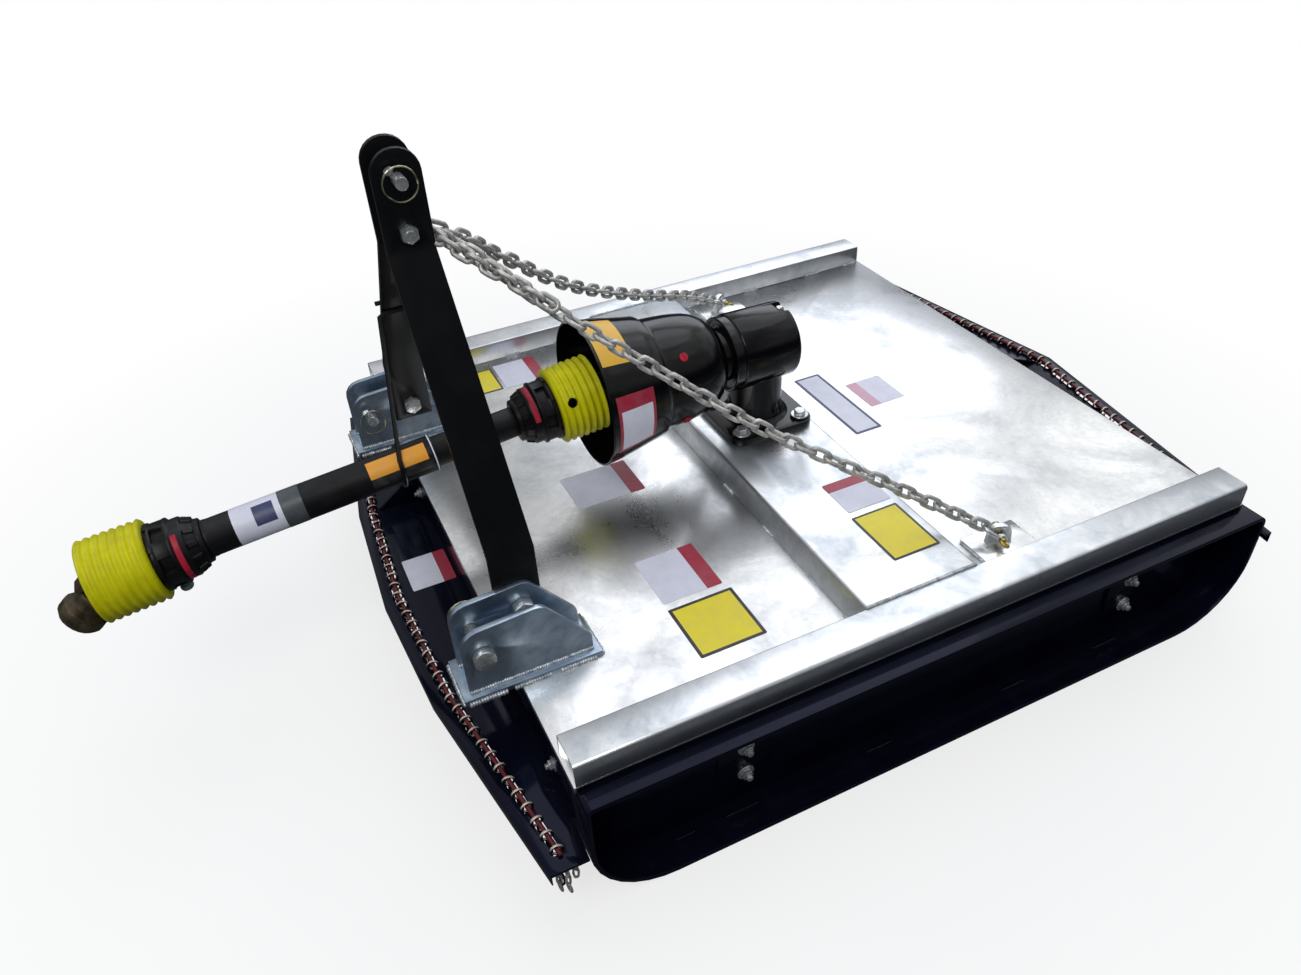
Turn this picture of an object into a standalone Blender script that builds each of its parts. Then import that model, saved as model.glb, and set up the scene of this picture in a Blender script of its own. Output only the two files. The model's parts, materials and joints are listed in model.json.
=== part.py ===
# Rotary slasher for a tractor's three-point linkage, standing on its skids.
# Metres, +Z up, tractor side at -Y. Y is measured from the deck's front edge until the
# whole machine is centred over its footprint at the end.
import bpy
import bmesh
import math
from mathutils import Matrix, Vector

SEAT = 0.0003            # gap left between pieces that rest on each other

# Deck
DECK_HEIGHT = 0.248      # ground to the top of the sheet
DECK_WIDTH = 1.220
DECK_LENGTH = 1.271
SHEET = 0.004
DECK_LIP = 0.012
RAIL_WIDTH = 0.063
RAIL_HEIGHT = 0.043
RAIL_WALL = 0.003
RAIL_ROUND = 0.008
CHANNEL_FRONT = 0.504    # foot of the gearbox channel's front face
CHANNEL_WIDTH = 0.234
CHANNEL_HEIGHT = 0.044
CHANNEL_WALL = 0.005
CHANNEL_SLOPE = 0.012

# Lower frame, side skirts and skids
PANEL = 0.005
PANEL_DROP = 0.108       # deck top to the front guard
FLANGE = 0.040
SKIRT_IN = 0.036         # deck's edge to the inner face of the side skirt
SKIRT_X = DECK_WIDTH / 2 - SKIRT_IN
SKID_WIDTH = 0.070
SKID_OUTER = SKIRT_X + SKID_WIDTH
SKID_BAR = 0.008
SKID_TOP = 0.012         # under the deck top
SKID_FRONT = 0.000
SKID_PAST_DECK = 0.026
SKID_REAR = DECK_LENGTH + SKID_PAST_DECK
SKID_RADIUS = 0.135
SKID_STEPS = 8
STRAP_Y = (0.235, 1.020)
STRAP_WIDTH = 0.095
STRAP_DROP = 0.150
STRAP_THICK = 0.006

# Guards and chain curtains
GUARD_BEND_X = 0.270
GUARD_PAST_SKID = 0.006
GUARD_END_X = SKID_OUTER + GUARD_PAST_SKID
GUARD_FRONT = (0.139, 0.124, 0.062)     # reach at the middle, the bends and the ends
GUARD_REAR = (0.146, 0.104, 0.046)
GUARD_REAR_DROP = 0.055
GUARD_PLATE = 0.005
GUARD_UNDER = 0.012      # how far the front guard runs in under its panel
GUARD_LIP = 0.022
END_TAPER = 0.003
FIN_THICK = 0.005        # triangular gussets between panel and guard
FIN_HEIGHT_FRONT = 0.066
FIN_FROM_SLOT = 0.007
CURTAIN_INSET = 0.028
CURTAIN_IN_FRONT = 0.022 # in from the guard's end and from the skirt
CURTAIN_IN_REAR = 0.014
CURTAIN_PITCH = 0.028
CURTAIN_ROD = 0.0045
CURTAIN_ROD_END = 0.012
STRAND_WIDTH = 0.006
STRAND_THICK = 0.004
STRAND_SLOT = 0.014
SLOT_STRANDS = 3
CURTAIN_CLEAR = 0.040    # strands end this far over the ground

# Linkage brackets and mast
BRACKET_INNER = 0.323    # inner face of the inner plate
BRACKET_PLATE = 0.010
BRACKET_GAP = 0.050
BRACKET_FRONT = 0.076
BRACKET_REAR = 0.122
BRACKET_TOP = 0.132
BRACKET_BASE = 0.010
LOWER_PIN_Y = -0.046
LOWER_PIN_Z = 0.078
LOWER_PIN_R = 0.011
MAST_BOLT_Y = 0.036
MAST_BOLT_Z = 0.089
MAST_BOLT_R = 0.010
MAST_WIDTH = 0.072
MAST_THICK = 0.010
MAST_GAP = 0.052         # between the bars at the top link
MAST_LOW_BEND = 0.182
MAST_HIGH_BEND = 0.538
MAST_TOP = 0.694
TOP_PIN_Z = 0.652
TOP_PIN_R = 0.0095
TIE_BOLT_Z = 0.573
TIE_BOLT_R = 0.008
SPACER_R = 0.0105

# Driveline
INPUT_Z = 0.202          # input axis over the deck
ROTOR_Y = 0.636
ROTOR_SHAFT_R = 0.022
ROTOR_SHAFT_TOP = 0.090  # over the deck, inside the gearbox
GEARBOX_NECK_R = 0.050
NECK_END = 0.090         # ahead of the rotor's axis
DRUM_R = 0.068
DRUM_REAR = 0.062
DRUM_FRONT = 0.076
DRUM_ROUND = 0.012
DRUM_RIM = 0.018         # front rim, a step smaller than the drum
DRUM_STEP = 0.0015
NOTCH_HALF = 0.013       # cut-out for the filler in the drum's rear rim
NOTCH_LONG = 0.024
NOTCH_DEEP = 0.016
COLUMN_R = 0.052
FOOT_HALF = 0.086
FOOT_THICK = 0.014
FOOT_ROUND = 0.022
BREATHER_R = 0.007
BREATHER_HEAD_R = 0.0095
BREATHER_IN = 0.012      # in from the drum's rear face
SHIELD_BASE = 0.0885     # ahead of the rotor's axis
SHIELD_WALL = 0.003
SHIELD_STEPS = ((0.118, 0.261), (0.118, 0.138), (0.113, 0.134), (0.113, 0.044), (0.109, 0.027), (0.099, 0.012), (0.083, 0.003))
JOINT_Y = 0.290          # rear universal joint
SHAFT_SLOPE = 5.5        # degrees, down towards the tractor
CONE_R = 0.069
CONE_RIBS = 5
CONE_RIB = 0.003
CONE_WALL = 0.007
CONE_NECK_R = 0.046
TUBE_R = 0.031
INNER_TUBE_R = 0.0265
TUBE_CLEAR = 0.0008
FRONT_JOINT = 0.808      # along the shaft, between the two joints
YOKE_DROOP = 35.0
SLEEVE_R = 0.036
SLEEVE_NECK_R = 0.024
SLEEVE_NECK_END = 0.0670
SLEEVE_DISC_R = 0.028
SLEEVE_FLARE = 0.0055
SLEEVE_END_R = 0.030
SLEEVE_END_ROUND = 0.008
SLEEVE_END = 0.098
CONE_REAR = -0.017       # cone mouth, along the shaft from the rear joint
CONE_FRONT_PAST = 0.013  # the front cone reaches this much further over its joint
COLLAR_REAR = 0.065
COLLAR_REAR_LONG = 0.070
COLLAR_FRONT = 0.663
COLLAR_FRONT_LONG = 0.078
COLLAR_R = 0.056
COLLAR_STEPS = ((0.036, 0.0), (0.040, 0.010), (0.050, 0.030))   # radius and distance from the tube's end
COLLAR_TAPER = 0.040
INNER_END = 0.600
OUTER_START = 0.281
STUB_R = 0.0175
TAIL_LONG = 0.045        # yoke tails run this far into the collars
FORK_INNER = 0.0265
FORK_OUTER = 0.036
FORK_BASE = 0.042
FORK_DISC = 0.010
FORK_DISC_R = 0.033
CROSS_R = 0.009
CROSS_SLACK = 0.0017      # end play of the rear cross, which tilts as the bent joint turns
EAR_REACH = 0.014
EAR_HALF = 0.014
HOOK_Y = -0.052
HOOK_Z = 0.370
HOOK_R = 0.004
HOOK_SWING = 27.0        # degrees that the hook turns as the shaft is lifted off it
HOOK_END = -98.0

# Rotor and blades, heights over the ground
HUB_R = 0.045
HUB_TOP = 0.190
HUB_LOW = 0.114
PAN_OUTSIDE = ((0.200, 0.128), (0.255, 0.122), (0.262, 0.112), (0.257, 0.112), (0.251, 0.116), (0.198, 0.120))
PAN_TOP = 0.128
PAN_UNDER = 0.120
BLADE_PIN_X = 0.205
BLADE_PIN_R = 0.014
BLADE_PIN_HEAD_R = 0.024
BLADE_BOSS_R = 0.022
BLADE_LOW = 0.0963
BLADE_THICK = 0.008
BLADE_HEEL = 0.175
BLADE_CLEAR = 0.054      # blade's tip to the side skirt
BLADE_TIP = SKIRT_X - BLADE_CLEAR
BLADE_TIP_CUT = 0.020
BLADE_HALF = 0.035

# Check chains
CHAIN_PITCH = 0.0325
CHAIN_WIDTH = 0.024
CHAIN_R = 0.0036
CHAIN_BITE = 0.0026      # links overlap this much so that the chain is one solid
LUG_PAD_HALF = 0.035
LUG_FROM_RAIL = 0.022    # pad's edge to the rail
LUG_FROM_CHANNEL = 0.088 # channel's rear foot to the lug's hole
LUG_X = DECK_WIDTH / 2 - RAIL_WIDTH - LUG_FROM_RAIL - LUG_PAD_HALF
LUG_Y = CHANNEL_FRONT + CHANNEL_WIDTH + LUG_FROM_CHANNEL
LUG_Z = 0.026
PAD_THICK = 0.006
RING_R = 0.0146          # inside of the ring on the tie bolt
RING_X = 0.0135
SHACKLE_R = 0.0038
SHACKLE_PIN_R = 0.005
SHACKLE_WIDTH = 0.028
SHACKLE_LEG = 0.020
NEAR_ROUTE = ((0.0135, 0.082, 0.553), (0.110, 0.202, 0.456), (0.205, 0.343, 0.342), (0.302, 0.485, 0.235), (0.411, 0.647, 0.142))
FAR_ROUTE = ((0.0135, 0.082, 0.553), (0.097, 0.200, 0.448), (0.172, 0.324, 0.337), (0.301, 0.538, 0.200), (0.403, 0.705, 0.110))
ROUTE_LUG = (0.490, 0.826)               # lug that both routes were drawn for; they stretch to the real one


collection = None
root = None


def empty_scene():
    for item in list(bpy.data.objects):
        bpy.data.objects.remove(item)


def make_material(name, colour, roughness, metallic):
    material = bpy.data.materials.new(name)
    material.use_nodes = True
    shader = material.node_tree.nodes["Principled BSDF"]
    shader.inputs["Base Color"].default_value = (*colour, 1.0)
    shader.inputs["Roughness"].default_value = roughness
    shader.inputs["Metallic"].default_value = metallic
    return material


def place(obj, name, material, parent=None):
    """Names a finished object, moves it to the collection and parents it in place."""
    obj.name = name
    obj.data.name = name
    for group in list(obj.users_collection):
        group.objects.unlink(obj)
    collection.objects.link(obj)
    obj.data.materials.clear()
    obj.data.materials.append(material)
    obj.parent = parent or root
    return obj


def smooth(obj, degrees=35.0):
    obj.data.shade_smooth()
    obj.data.set_sharp_from_angle(angle=math.radians(degrees))
    return obj


def bake(obj):
    """Turns an object, with its modifiers, into a plain mesh at the world origin."""
    bpy.context.view_layer.update()
    graph = bpy.context.evaluated_depsgraph_get()
    mesh = bpy.data.meshes.new_from_object(obj.evaluated_get(graph))
    mesh.transform(obj.matrix_world)
    form = bmesh.new()
    form.from_mesh(mesh)
    bmesh.ops.remove_doubles(form, verts=form.verts, dist=0.000001)
    bmesh.ops.recalc_face_normals(form, faces=form.faces)
    form.to_mesh(mesh)
    form.free()
    result = bpy.data.objects.new(obj.name, mesh)
    bpy.context.scene.collection.objects.link(result)
    bpy.data.objects.remove(obj)
    return result


def block(low, high):
    """A box between two corners."""
    bpy.ops.mesh.primitive_cube_add(size=1.0)
    obj = bpy.context.object
    obj.data.transform(Matrix.Diagonal([high[i] - low[i] for i in range(3)]).to_4x4())
    obj.data.transform(Matrix.Translation([(high[i] + low[i]) / 2 for i in range(3)]))
    return obj


def rod(start, end, radius, sides=16):
    """A round bar between two points."""
    a = Vector(start)
    b = Vector(end)
    bpy.ops.mesh.primitive_cylinder_add(vertices=sides, radius=radius, depth=(b - a).length)
    obj = bpy.context.object
    turn = (b - a).to_track_quat("Z", "Y").to_matrix().to_4x4()
    obj.data.transform(Matrix.Translation((a + b) / 2) @ turn)
    return obj


def cut(obj, tools):
    """Takes the tools out of the object."""
    return combine(obj, tools, "DIFFERENCE")


def join(obj, tools):
    """Fuses the tools to the object."""
    return combine(obj, tools, "UNION")


def combine(obj, tools, operation):
    for tool in tools:
        change = obj.modifiers.new(operation.lower(), "BOOLEAN")
        change.operation = operation
        change.object = tool
    result = bake(obj)
    for tool in tools:
        bpy.data.objects.remove(tool)
    return result


def fillet(points, radii, steps=3):
    """Corner points with a radius each, as an outline with round corners."""
    outline = []
    count = len(points)
    for i, radius in enumerate(radii):
        corner = Vector(points[i])
        if radius <= 0:
            outline.append(corner)
            continue
        before = (Vector(points[i - 1]) - corner).normalized()
        after = (Vector(points[(i + 1) % count]) - corner).normalized()
        half = before.angle(after) / 2
        reach = radius / math.tan(half)
        centre = corner + (before + after).normalized() * (radius / math.sin(half))
        first = corner + before * reach - centre
        last = corner + after * reach - centre
        sweep = first.angle_signed(last)
        for step in range(steps + 1):
            turned = first.copy()
            turned.rotate(Matrix.Rotation(-sweep * step / steps, 2))
            outline.append(centre + turned)
    return outline


def plate(outline, low, high, facing="Z", holes=()):
    """A flat outline extruded from low to high. facing X reads points as (y, z), Y as (x, z)."""
    curve = bpy.data.curves.new("plate", "CURVE")
    curve.dimensions = "2D"
    curve.fill_mode = "BOTH"
    curve.extrude = (high - low) / 2
    curve.resolution_u = 1
    for loop in [outline, *holes]:
        line = curve.splines.new("POLY")
        line.points.add(len(loop) - 1)
        for point, corner in zip(line.points, loop):
            point.co = (corner[0], corner[1], 0.0, 1.0)
        line.use_cyclic_u = True
    obj = bpy.data.objects.new("plate", curve)
    bpy.context.scene.collection.objects.link(obj)
    middle = (low + high) / 2
    if facing == "Z":
        obj.matrix_world = Matrix.Translation((0, 0, middle))
    elif facing == "X":
        obj.matrix_world = Matrix(((0, 0, 1, middle), (1, 0, 0, 0), (0, 1, 0, 0), (0, 0, 0, 1)))
    else:
        obj.matrix_world = Matrix(((1, 0, 0, 0), (0, 0, -1, middle), (0, 1, 0, 0), (0, 0, 0, 1)))
    return bake(obj)


def circle(centre, radius, sides=16):
    turn = 2 * math.pi / sides
    return [(centre[0] + radius * math.cos(turn * i), centre[1] + radius * math.sin(turn * i))
            for i in range(sides)]


def turned(profile, sides=24):
    """A profile of (radius, height) points, top to bottom, spun about Z into a closed solid."""
    mesh = bpy.data.meshes.new("turned")
    form = bmesh.new()
    points = [form.verts.new((r, 0.0, z)) for r, z in profile]
    for a, b in zip(points, points[1:]):
        form.edges.new((a, b))
    if profile[0][0] > 0 and profile[-1][0] > 0:
        form.edges.new((points[-1], points[0]))
    form.to_mesh(mesh)
    form.free()
    obj = bpy.data.objects.new("turned", mesh)
    bpy.context.scene.collection.objects.link(obj)
    screw = obj.modifiers.new("turn", "SCREW")
    screw.axis = "Z"
    screw.steps = sides
    screw.render_steps = sides
    screw.use_merge_vertices = True
    screw.merge_threshold = 0.0001
    return bake(obj)


def along_shaft(obj, distance=0.0):
    """Moves a piece turned about Z onto the drive shaft, Z pointing to the tractor."""
    obj.data.transform(shaft_frame() @ Matrix.Translation((0, 0, distance)))
    return obj


def shaft_frame():
    """Frame at the rear joint whose Z runs down the drive shaft and X across the machine."""
    slope = math.radians(SHAFT_SLOPE)
    along = Vector((0, -math.cos(slope), -math.sin(slope)))
    across = Vector((1, 0, 0))
    other = along.cross(across)
    frame = Matrix((across, other, along)).transposed().to_4x4()
    return Matrix.Translation((0, JOINT_Y, DECK_HEIGHT + INPUT_Z)) @ frame


def wire(points, radius, resolution=2, cyclic=False):
    """A round wire along a list of points."""
    curve = bpy.data.curves.new("wire", "CURVE")
    curve.dimensions = "3D"
    curve.bevel_depth = radius
    curve.bevel_resolution = resolution
    curve.use_fill_caps = not cyclic
    curve.resolution_u = 1
    line = curve.splines.new("POLY")
    line.points.add(len(points) - 1)
    for point, corner in zip(line.points, points):
        point.co = (*corner, 1.0)
    line.use_cyclic_u = cyclic
    obj = bpy.data.objects.new("wire", curve)
    bpy.context.scene.collection.objects.link(obj)
    return bake(obj)


def mirrored(obj):
    """A copy of a baked piece on the other side of the machine."""
    copy = bpy.data.objects.new(obj.name, obj.data.copy())
    bpy.context.scene.collection.objects.link(copy)
    copy.data.transform(Matrix.Scale(-1, 4, (1, 0, 0)))
    copy.data.flip_normals()
    return copy


def both_sides(obj, name, material):
    """Puts a piece on the left (+X) and its mirror image on the right."""
    other = mirrored(obj)
    place(obj, name + "_left", material)
    place(other, name + "_right", material)


def above(z):
    return DECK_HEIGHT + z


def build_deck(steel):
    """Sheet with folded front and rear lips, the two rails and the gearbox channel."""
    half = DECK_WIDTH / 2
    top = DECK_HEIGHT
    low = top - DECK_LIP
    inner = top - SHEET
    outline = [(0, top), (0, low), (SHEET, low), (SHEET, inner),
               (DECK_LENGTH - SHEET, inner), (DECK_LENGTH - SHEET, low), (DECK_LENGTH, low), (DECK_LENGTH, top)]
    sheet = plate(outline, -half, half, "X")
    shaft_hole = rod((0, ROTOR_Y, top - 0.1), (0, ROTOR_Y, top + 0.1), 0.052)
    place(cut(sheet, [shaft_hole]), "deck_sheet", steel)

    foot = top + SEAT
    crest = top + RAIL_HEIGHT
    outer = half
    far = half - RAIL_WIDTH
    shape = fillet([(far, foot), (far, crest), (outer, crest), (outer, foot)],
                   [0, 0.003, RAIL_ROUND, 0])
    inside = fillet([(far + RAIL_WALL, foot - 0.01), (far + RAIL_WALL, crest - RAIL_WALL),
                     (outer - RAIL_WALL, crest - RAIL_WALL), (outer - RAIL_WALL, foot - 0.01)],
                    [0, 0.001, RAIL_ROUND - RAIL_WALL, 0])
    rail = plate(shape, 0.003, DECK_LENGTH - 0.006, "Y")
    hollow = plate(inside, -0.01, DECK_LENGTH + 0.01, "Y")
    both_sides(cut(rail, [hollow]), "side_rail", steel)

    reach = far - SEAT
    start = CHANNEL_FRONT
    end = CHANNEL_FRONT + CHANNEL_WIDTH
    crest = top + CHANNEL_HEIGHT
    shape = fillet([(start, foot), (start + CHANNEL_SLOPE, crest), (end - CHANNEL_SLOPE, crest), (end, foot)],
                   [0, 0.006, 0.006, 0])
    wall = CHANNEL_WALL
    inside = [(start + wall * 1.1, foot - 0.01), (start + CHANNEL_SLOPE + wall, crest - wall),
              (end - CHANNEL_SLOPE - wall, crest - wall), (end - wall * 1.1, foot - 0.01)]
    channel = plate(shape, -reach, reach, "X")
    hollow = plate(inside, -reach - 0.01, reach + 0.01, "X")
    shaft_hole = rod((0, ROTOR_Y, crest - 0.02), (0, ROTOR_Y, crest + 0.02), 0.052)
    place(cut(channel, [hollow, shaft_hole]), "gearbox_channel", steel)


def build_frame(paint):
    """Front and rear panels, side skirts and the closed skid bars round them."""
    under = DECK_HEIGHT - SHEET - SEAT
    reach = SKIRT_X - SEAT
    front = SHEET + SEAT
    rear = DECK_LENGTH - SHEET - SEAT
    low = DECK_HEIGHT - PANEL_DROP + SEAT
    outline = [(front, low), (front, under), (front + FLANGE, under), (front + FLANGE, under - PANEL),
               (front + PANEL, under - PANEL), (front + PANEL, low)]
    place(plate(outline, -reach, reach, "X"), "front_panel", paint)
    low = DECK_HEIGHT - PANEL_DROP
    outline = [(rear, low), (rear, under), (rear - FLANGE, under), (rear - FLANGE, under - PANEL),
               (rear - PANEL, under - PANEL), (rear - PANEL, low)]
    place(plate(outline, -reach, reach, "X"), "rear_panel", paint)

    top = DECK_HEIGHT - SKID_TOP
    corners = [(SKID_FRONT, top), (SKID_REAR, top), (SKID_REAR, 0), (SKID_FRONT, 0)]
    inset = SKID_BAR
    inner = [(SKID_FRONT + inset, top - inset), (SKID_REAR - inset, top - inset),
             (SKID_REAR - inset, inset), (SKID_FRONT + inset, inset)]
    outside = fillet(corners, [0.012, 0.020, SKID_RADIUS, SKID_RADIUS], SKID_STEPS)
    inside = fillet(inner, [0.004, 0.012, SKID_RADIUS - inset, SKID_RADIUS - inset], SKID_STEPS)
    bar = plate(outside, SKIRT_X, SKID_OUTER, "X", [inside])
    both_sides(bar, "skid", paint)

    gap = SEAT
    edge = [(SKID_FRONT + inset + gap, top - inset - gap), (SKID_REAR - inset - gap, top - inset - gap),
            (SKID_REAR - inset - gap, inset + gap), (SKID_FRONT + inset + gap, inset + gap)]
    radius = SKID_RADIUS - inset - gap
    shape = fillet(edge, [0.0037, 0.0117, radius, radius], SKID_STEPS)
    skirt = plate(shape, SKIRT_X, SKIRT_X + PANEL, "X")
    straps = []
    for start in STRAP_Y:
        straps.append(block((SKIRT_X + PANEL - 0.001, start, top - inset - gap - STRAP_DROP),
                            (SKIRT_X + PANEL + STRAP_THICK, start + STRAP_WIDTH, top - inset - gap - 0.012)))
    both_sides(join(skirt, straps), "side_skirt", paint)


def guard_line(reach, offset):
    """Outer edge of a guard as x, y points, offset inwards."""
    middle, bend, end = [value - offset for value in reach]
    return [(-GUARD_END_X, end), (-GUARD_BEND_X, bend), (0.0, middle), (GUARD_BEND_X, bend), (GUARD_END_X, end)]


def guard_reach(reach, x):
    """How far the guard's edge stands out at x."""
    x = abs(x)
    middle, bend, end = reach
    if x < GUARD_BEND_X:
        return middle + (bend - middle) * x / GUARD_BEND_X
    return bend + (end - bend) * (x - GUARD_BEND_X) / (GUARD_END_X - GUARD_BEND_X)


def build_guard(name, reach, base, direction, seat, clear, level, curtain_end, fins, fin_height, paint, chain_paint):
    """Bowed guard plate with a lip and gussets, carrying a curtain of hanging chain strands.

    Reaches are counted outwards from the deck's edge: seat is where the plate meets the
    panel between the skids, clear is where it passes the skids' ends.
    """
    def out(x, y):
        return (x, base + direction * y)

    outer = [out(x, y) for x, y in guard_line(reach, 0)]
    inner = [out(GUARD_END_X, clear + END_TAPER), out(SKIRT_X - SEAT, clear), out(SKIRT_X - SEAT, seat),
             out(SEAT - SKIRT_X, seat), out(SEAT - SKIRT_X, clear), out(-GUARD_END_X, clear + END_TAPER)]
    sheet = plate(outer + inner, level - GUARD_LIP, level, "Z")
    inside = [out(x, y) for x, y in guard_line(reach, GUARD_PLATE)]
    inside[0] = (-GUARD_END_X - 0.02, inside[0][1])
    inside[-1] = (GUARD_END_X + 0.02, inside[-1][1])
    pocket = plate(inside + [out(GUARD_END_X + 0.02, -0.03), out(-GUARD_END_X - 0.02, -0.03)],
                   level - GUARD_LIP - 0.01, level - GUARD_PLATE, "Z")
    gussets = []
    for x in fins:
        run = guard_reach(reach, x) - CURTAIN_INSET - STRAND_SLOT / 2 - FIN_FROM_SLOT
        foot = level - GUARD_PLATE / 2
        near, far = base - direction * SHEET, base + direction * run
        corners = [(near, foot), (far, foot), (far, level + 0.003), (near + direction * 0.006, level + fin_height),
                   (near, level + fin_height)]
        gussets.append(plate(corners, x - FIN_THICK / 2, x + FIN_THICK / 2, "X"))
    sheet = join(cut(sheet, [pocket]), gussets)
    count = int(curtain_end / CURTAIN_PITCH)
    row = [out(i * CURTAIN_PITCH, guard_reach(reach, i * CURTAIN_PITCH) - CURTAIN_INSET)
           for i in range(-count, count + 1)]
    side = STRAND_SLOT / 2
    slots = []
    for first in range(0, len(row), SLOT_STRANDS):
        group = row[first:first + SLOT_STRANDS]
        (x, y), (end_x, end_y) = group[0], group[-1]
        bulge = [py - y - (end_y - y) * (px - x) / max(end_x - x, SEAT) for px, py in group]
        low = min(bulge) - side
        high = max(bulge) + side
        shape = [(x - side, y + low), (end_x + side, end_y + low), (end_x + side, end_y + high), (x - side, y + high)]
        slots.append(plate(shape, level - 0.05, level + 0.05, "Z"))
    place(cut(sheet, [merge(slots)]), name + "_guard", paint)

    height = level + CURTAIN_ROD + SEAT
    end_x = row[-1][0] + CURTAIN_ROD_END
    bends = [-end_x, -GUARD_BEND_X, 0.0, GUARD_BEND_X, end_x]
    line = [(*out(x, guard_reach(reach, x) - CURTAIN_INSET), height) for x in bends]
    half = (STRAND_THICK / 2, STRAND_WIDTH / 2)
    strands = [block((x - half[0], y - half[1], CURTAIN_CLEAR), (x + half[0], y + half[1], height)) for x, y in row]
    place(join(wire(line, CURTAIN_ROD, 0), [merge(strands)]), name + "_curtain", chain_paint)


def merge(objects):
    """Several meshes as one object, without fusing them."""
    form = bmesh.new()
    for obj in objects:
        form.from_mesh(obj.data)
        bpy.data.objects.remove(obj)
    mesh = bpy.data.meshes.new("merged")
    form.to_mesh(mesh)
    form.free()
    result = bpy.data.objects.new("merged", mesh)
    bpy.context.scene.collection.objects.link(result)
    return result


def build_bracket(steel, zinc):
    """Linkage bracket: a base plate with two cheeks, the lower pin through them."""
    base_top = above(SEAT + BRACKET_BASE)
    inner = BRACKET_INNER
    outer = inner + 2 * BRACKET_PLATE + BRACKET_GAP
    base = block((inner - 0.010, -BRACKET_FRONT - 0.012, above(SEAT)), (outer + 0.012, BRACKET_REAR + 0.010, base_top))
    bottom = base_top - 0.002
    outline = fillet([(-BRACKET_FRONT, bottom), (BRACKET_REAR, bottom), (BRACKET_REAR, above(0.040)),
                      (0.050, above(BRACKET_TOP)), (-BRACKET_FRONT, above(BRACKET_TOP - 0.008))],
                     [0, 0, 0.010, 0.022, 0.030], 4)
    pin_hole = circle((LOWER_PIN_Y, above(LOWER_PIN_Z)), LOWER_PIN_R + SEAT)
    bolt_hole = circle((MAST_BOLT_Y, above(MAST_BOLT_Z)), MAST_BOLT_R + SEAT)
    cheeks = []
    for low in (inner, inner + BRACKET_PLATE + BRACKET_GAP):
        holes = [pin_hole, bolt_hole] if low == inner else [pin_hole]
        cheeks.append(plate(outline, low, low + BRACKET_PLATE, "X", holes))
    both_sides(join(base, cheeks), "hitch_bracket", steel)

    start = inner - 0.022
    end = outer + 0.003
    pin = rod((start, LOWER_PIN_Y, above(LOWER_PIN_Z)), (end + 0.002, LOWER_PIN_Y, above(LOWER_PIN_Z)), LOWER_PIN_R)
    head = rod((outer + SEAT, LOWER_PIN_Y, above(LOWER_PIN_Z)), (outer + 0.014, LOWER_PIN_Y, above(LOWER_PIN_Z)), 0.017)
    both_sides(join(pin, [head]), "lower_pin", zinc)


def mast_profile():
    """Side of the left mast bar, seen from the front: x, z pairs of its inner face."""
    foot_x = BRACKET_INNER - SEAT - MAST_THICK
    top_x = MAST_GAP / 2
    return foot_x, top_x


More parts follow.
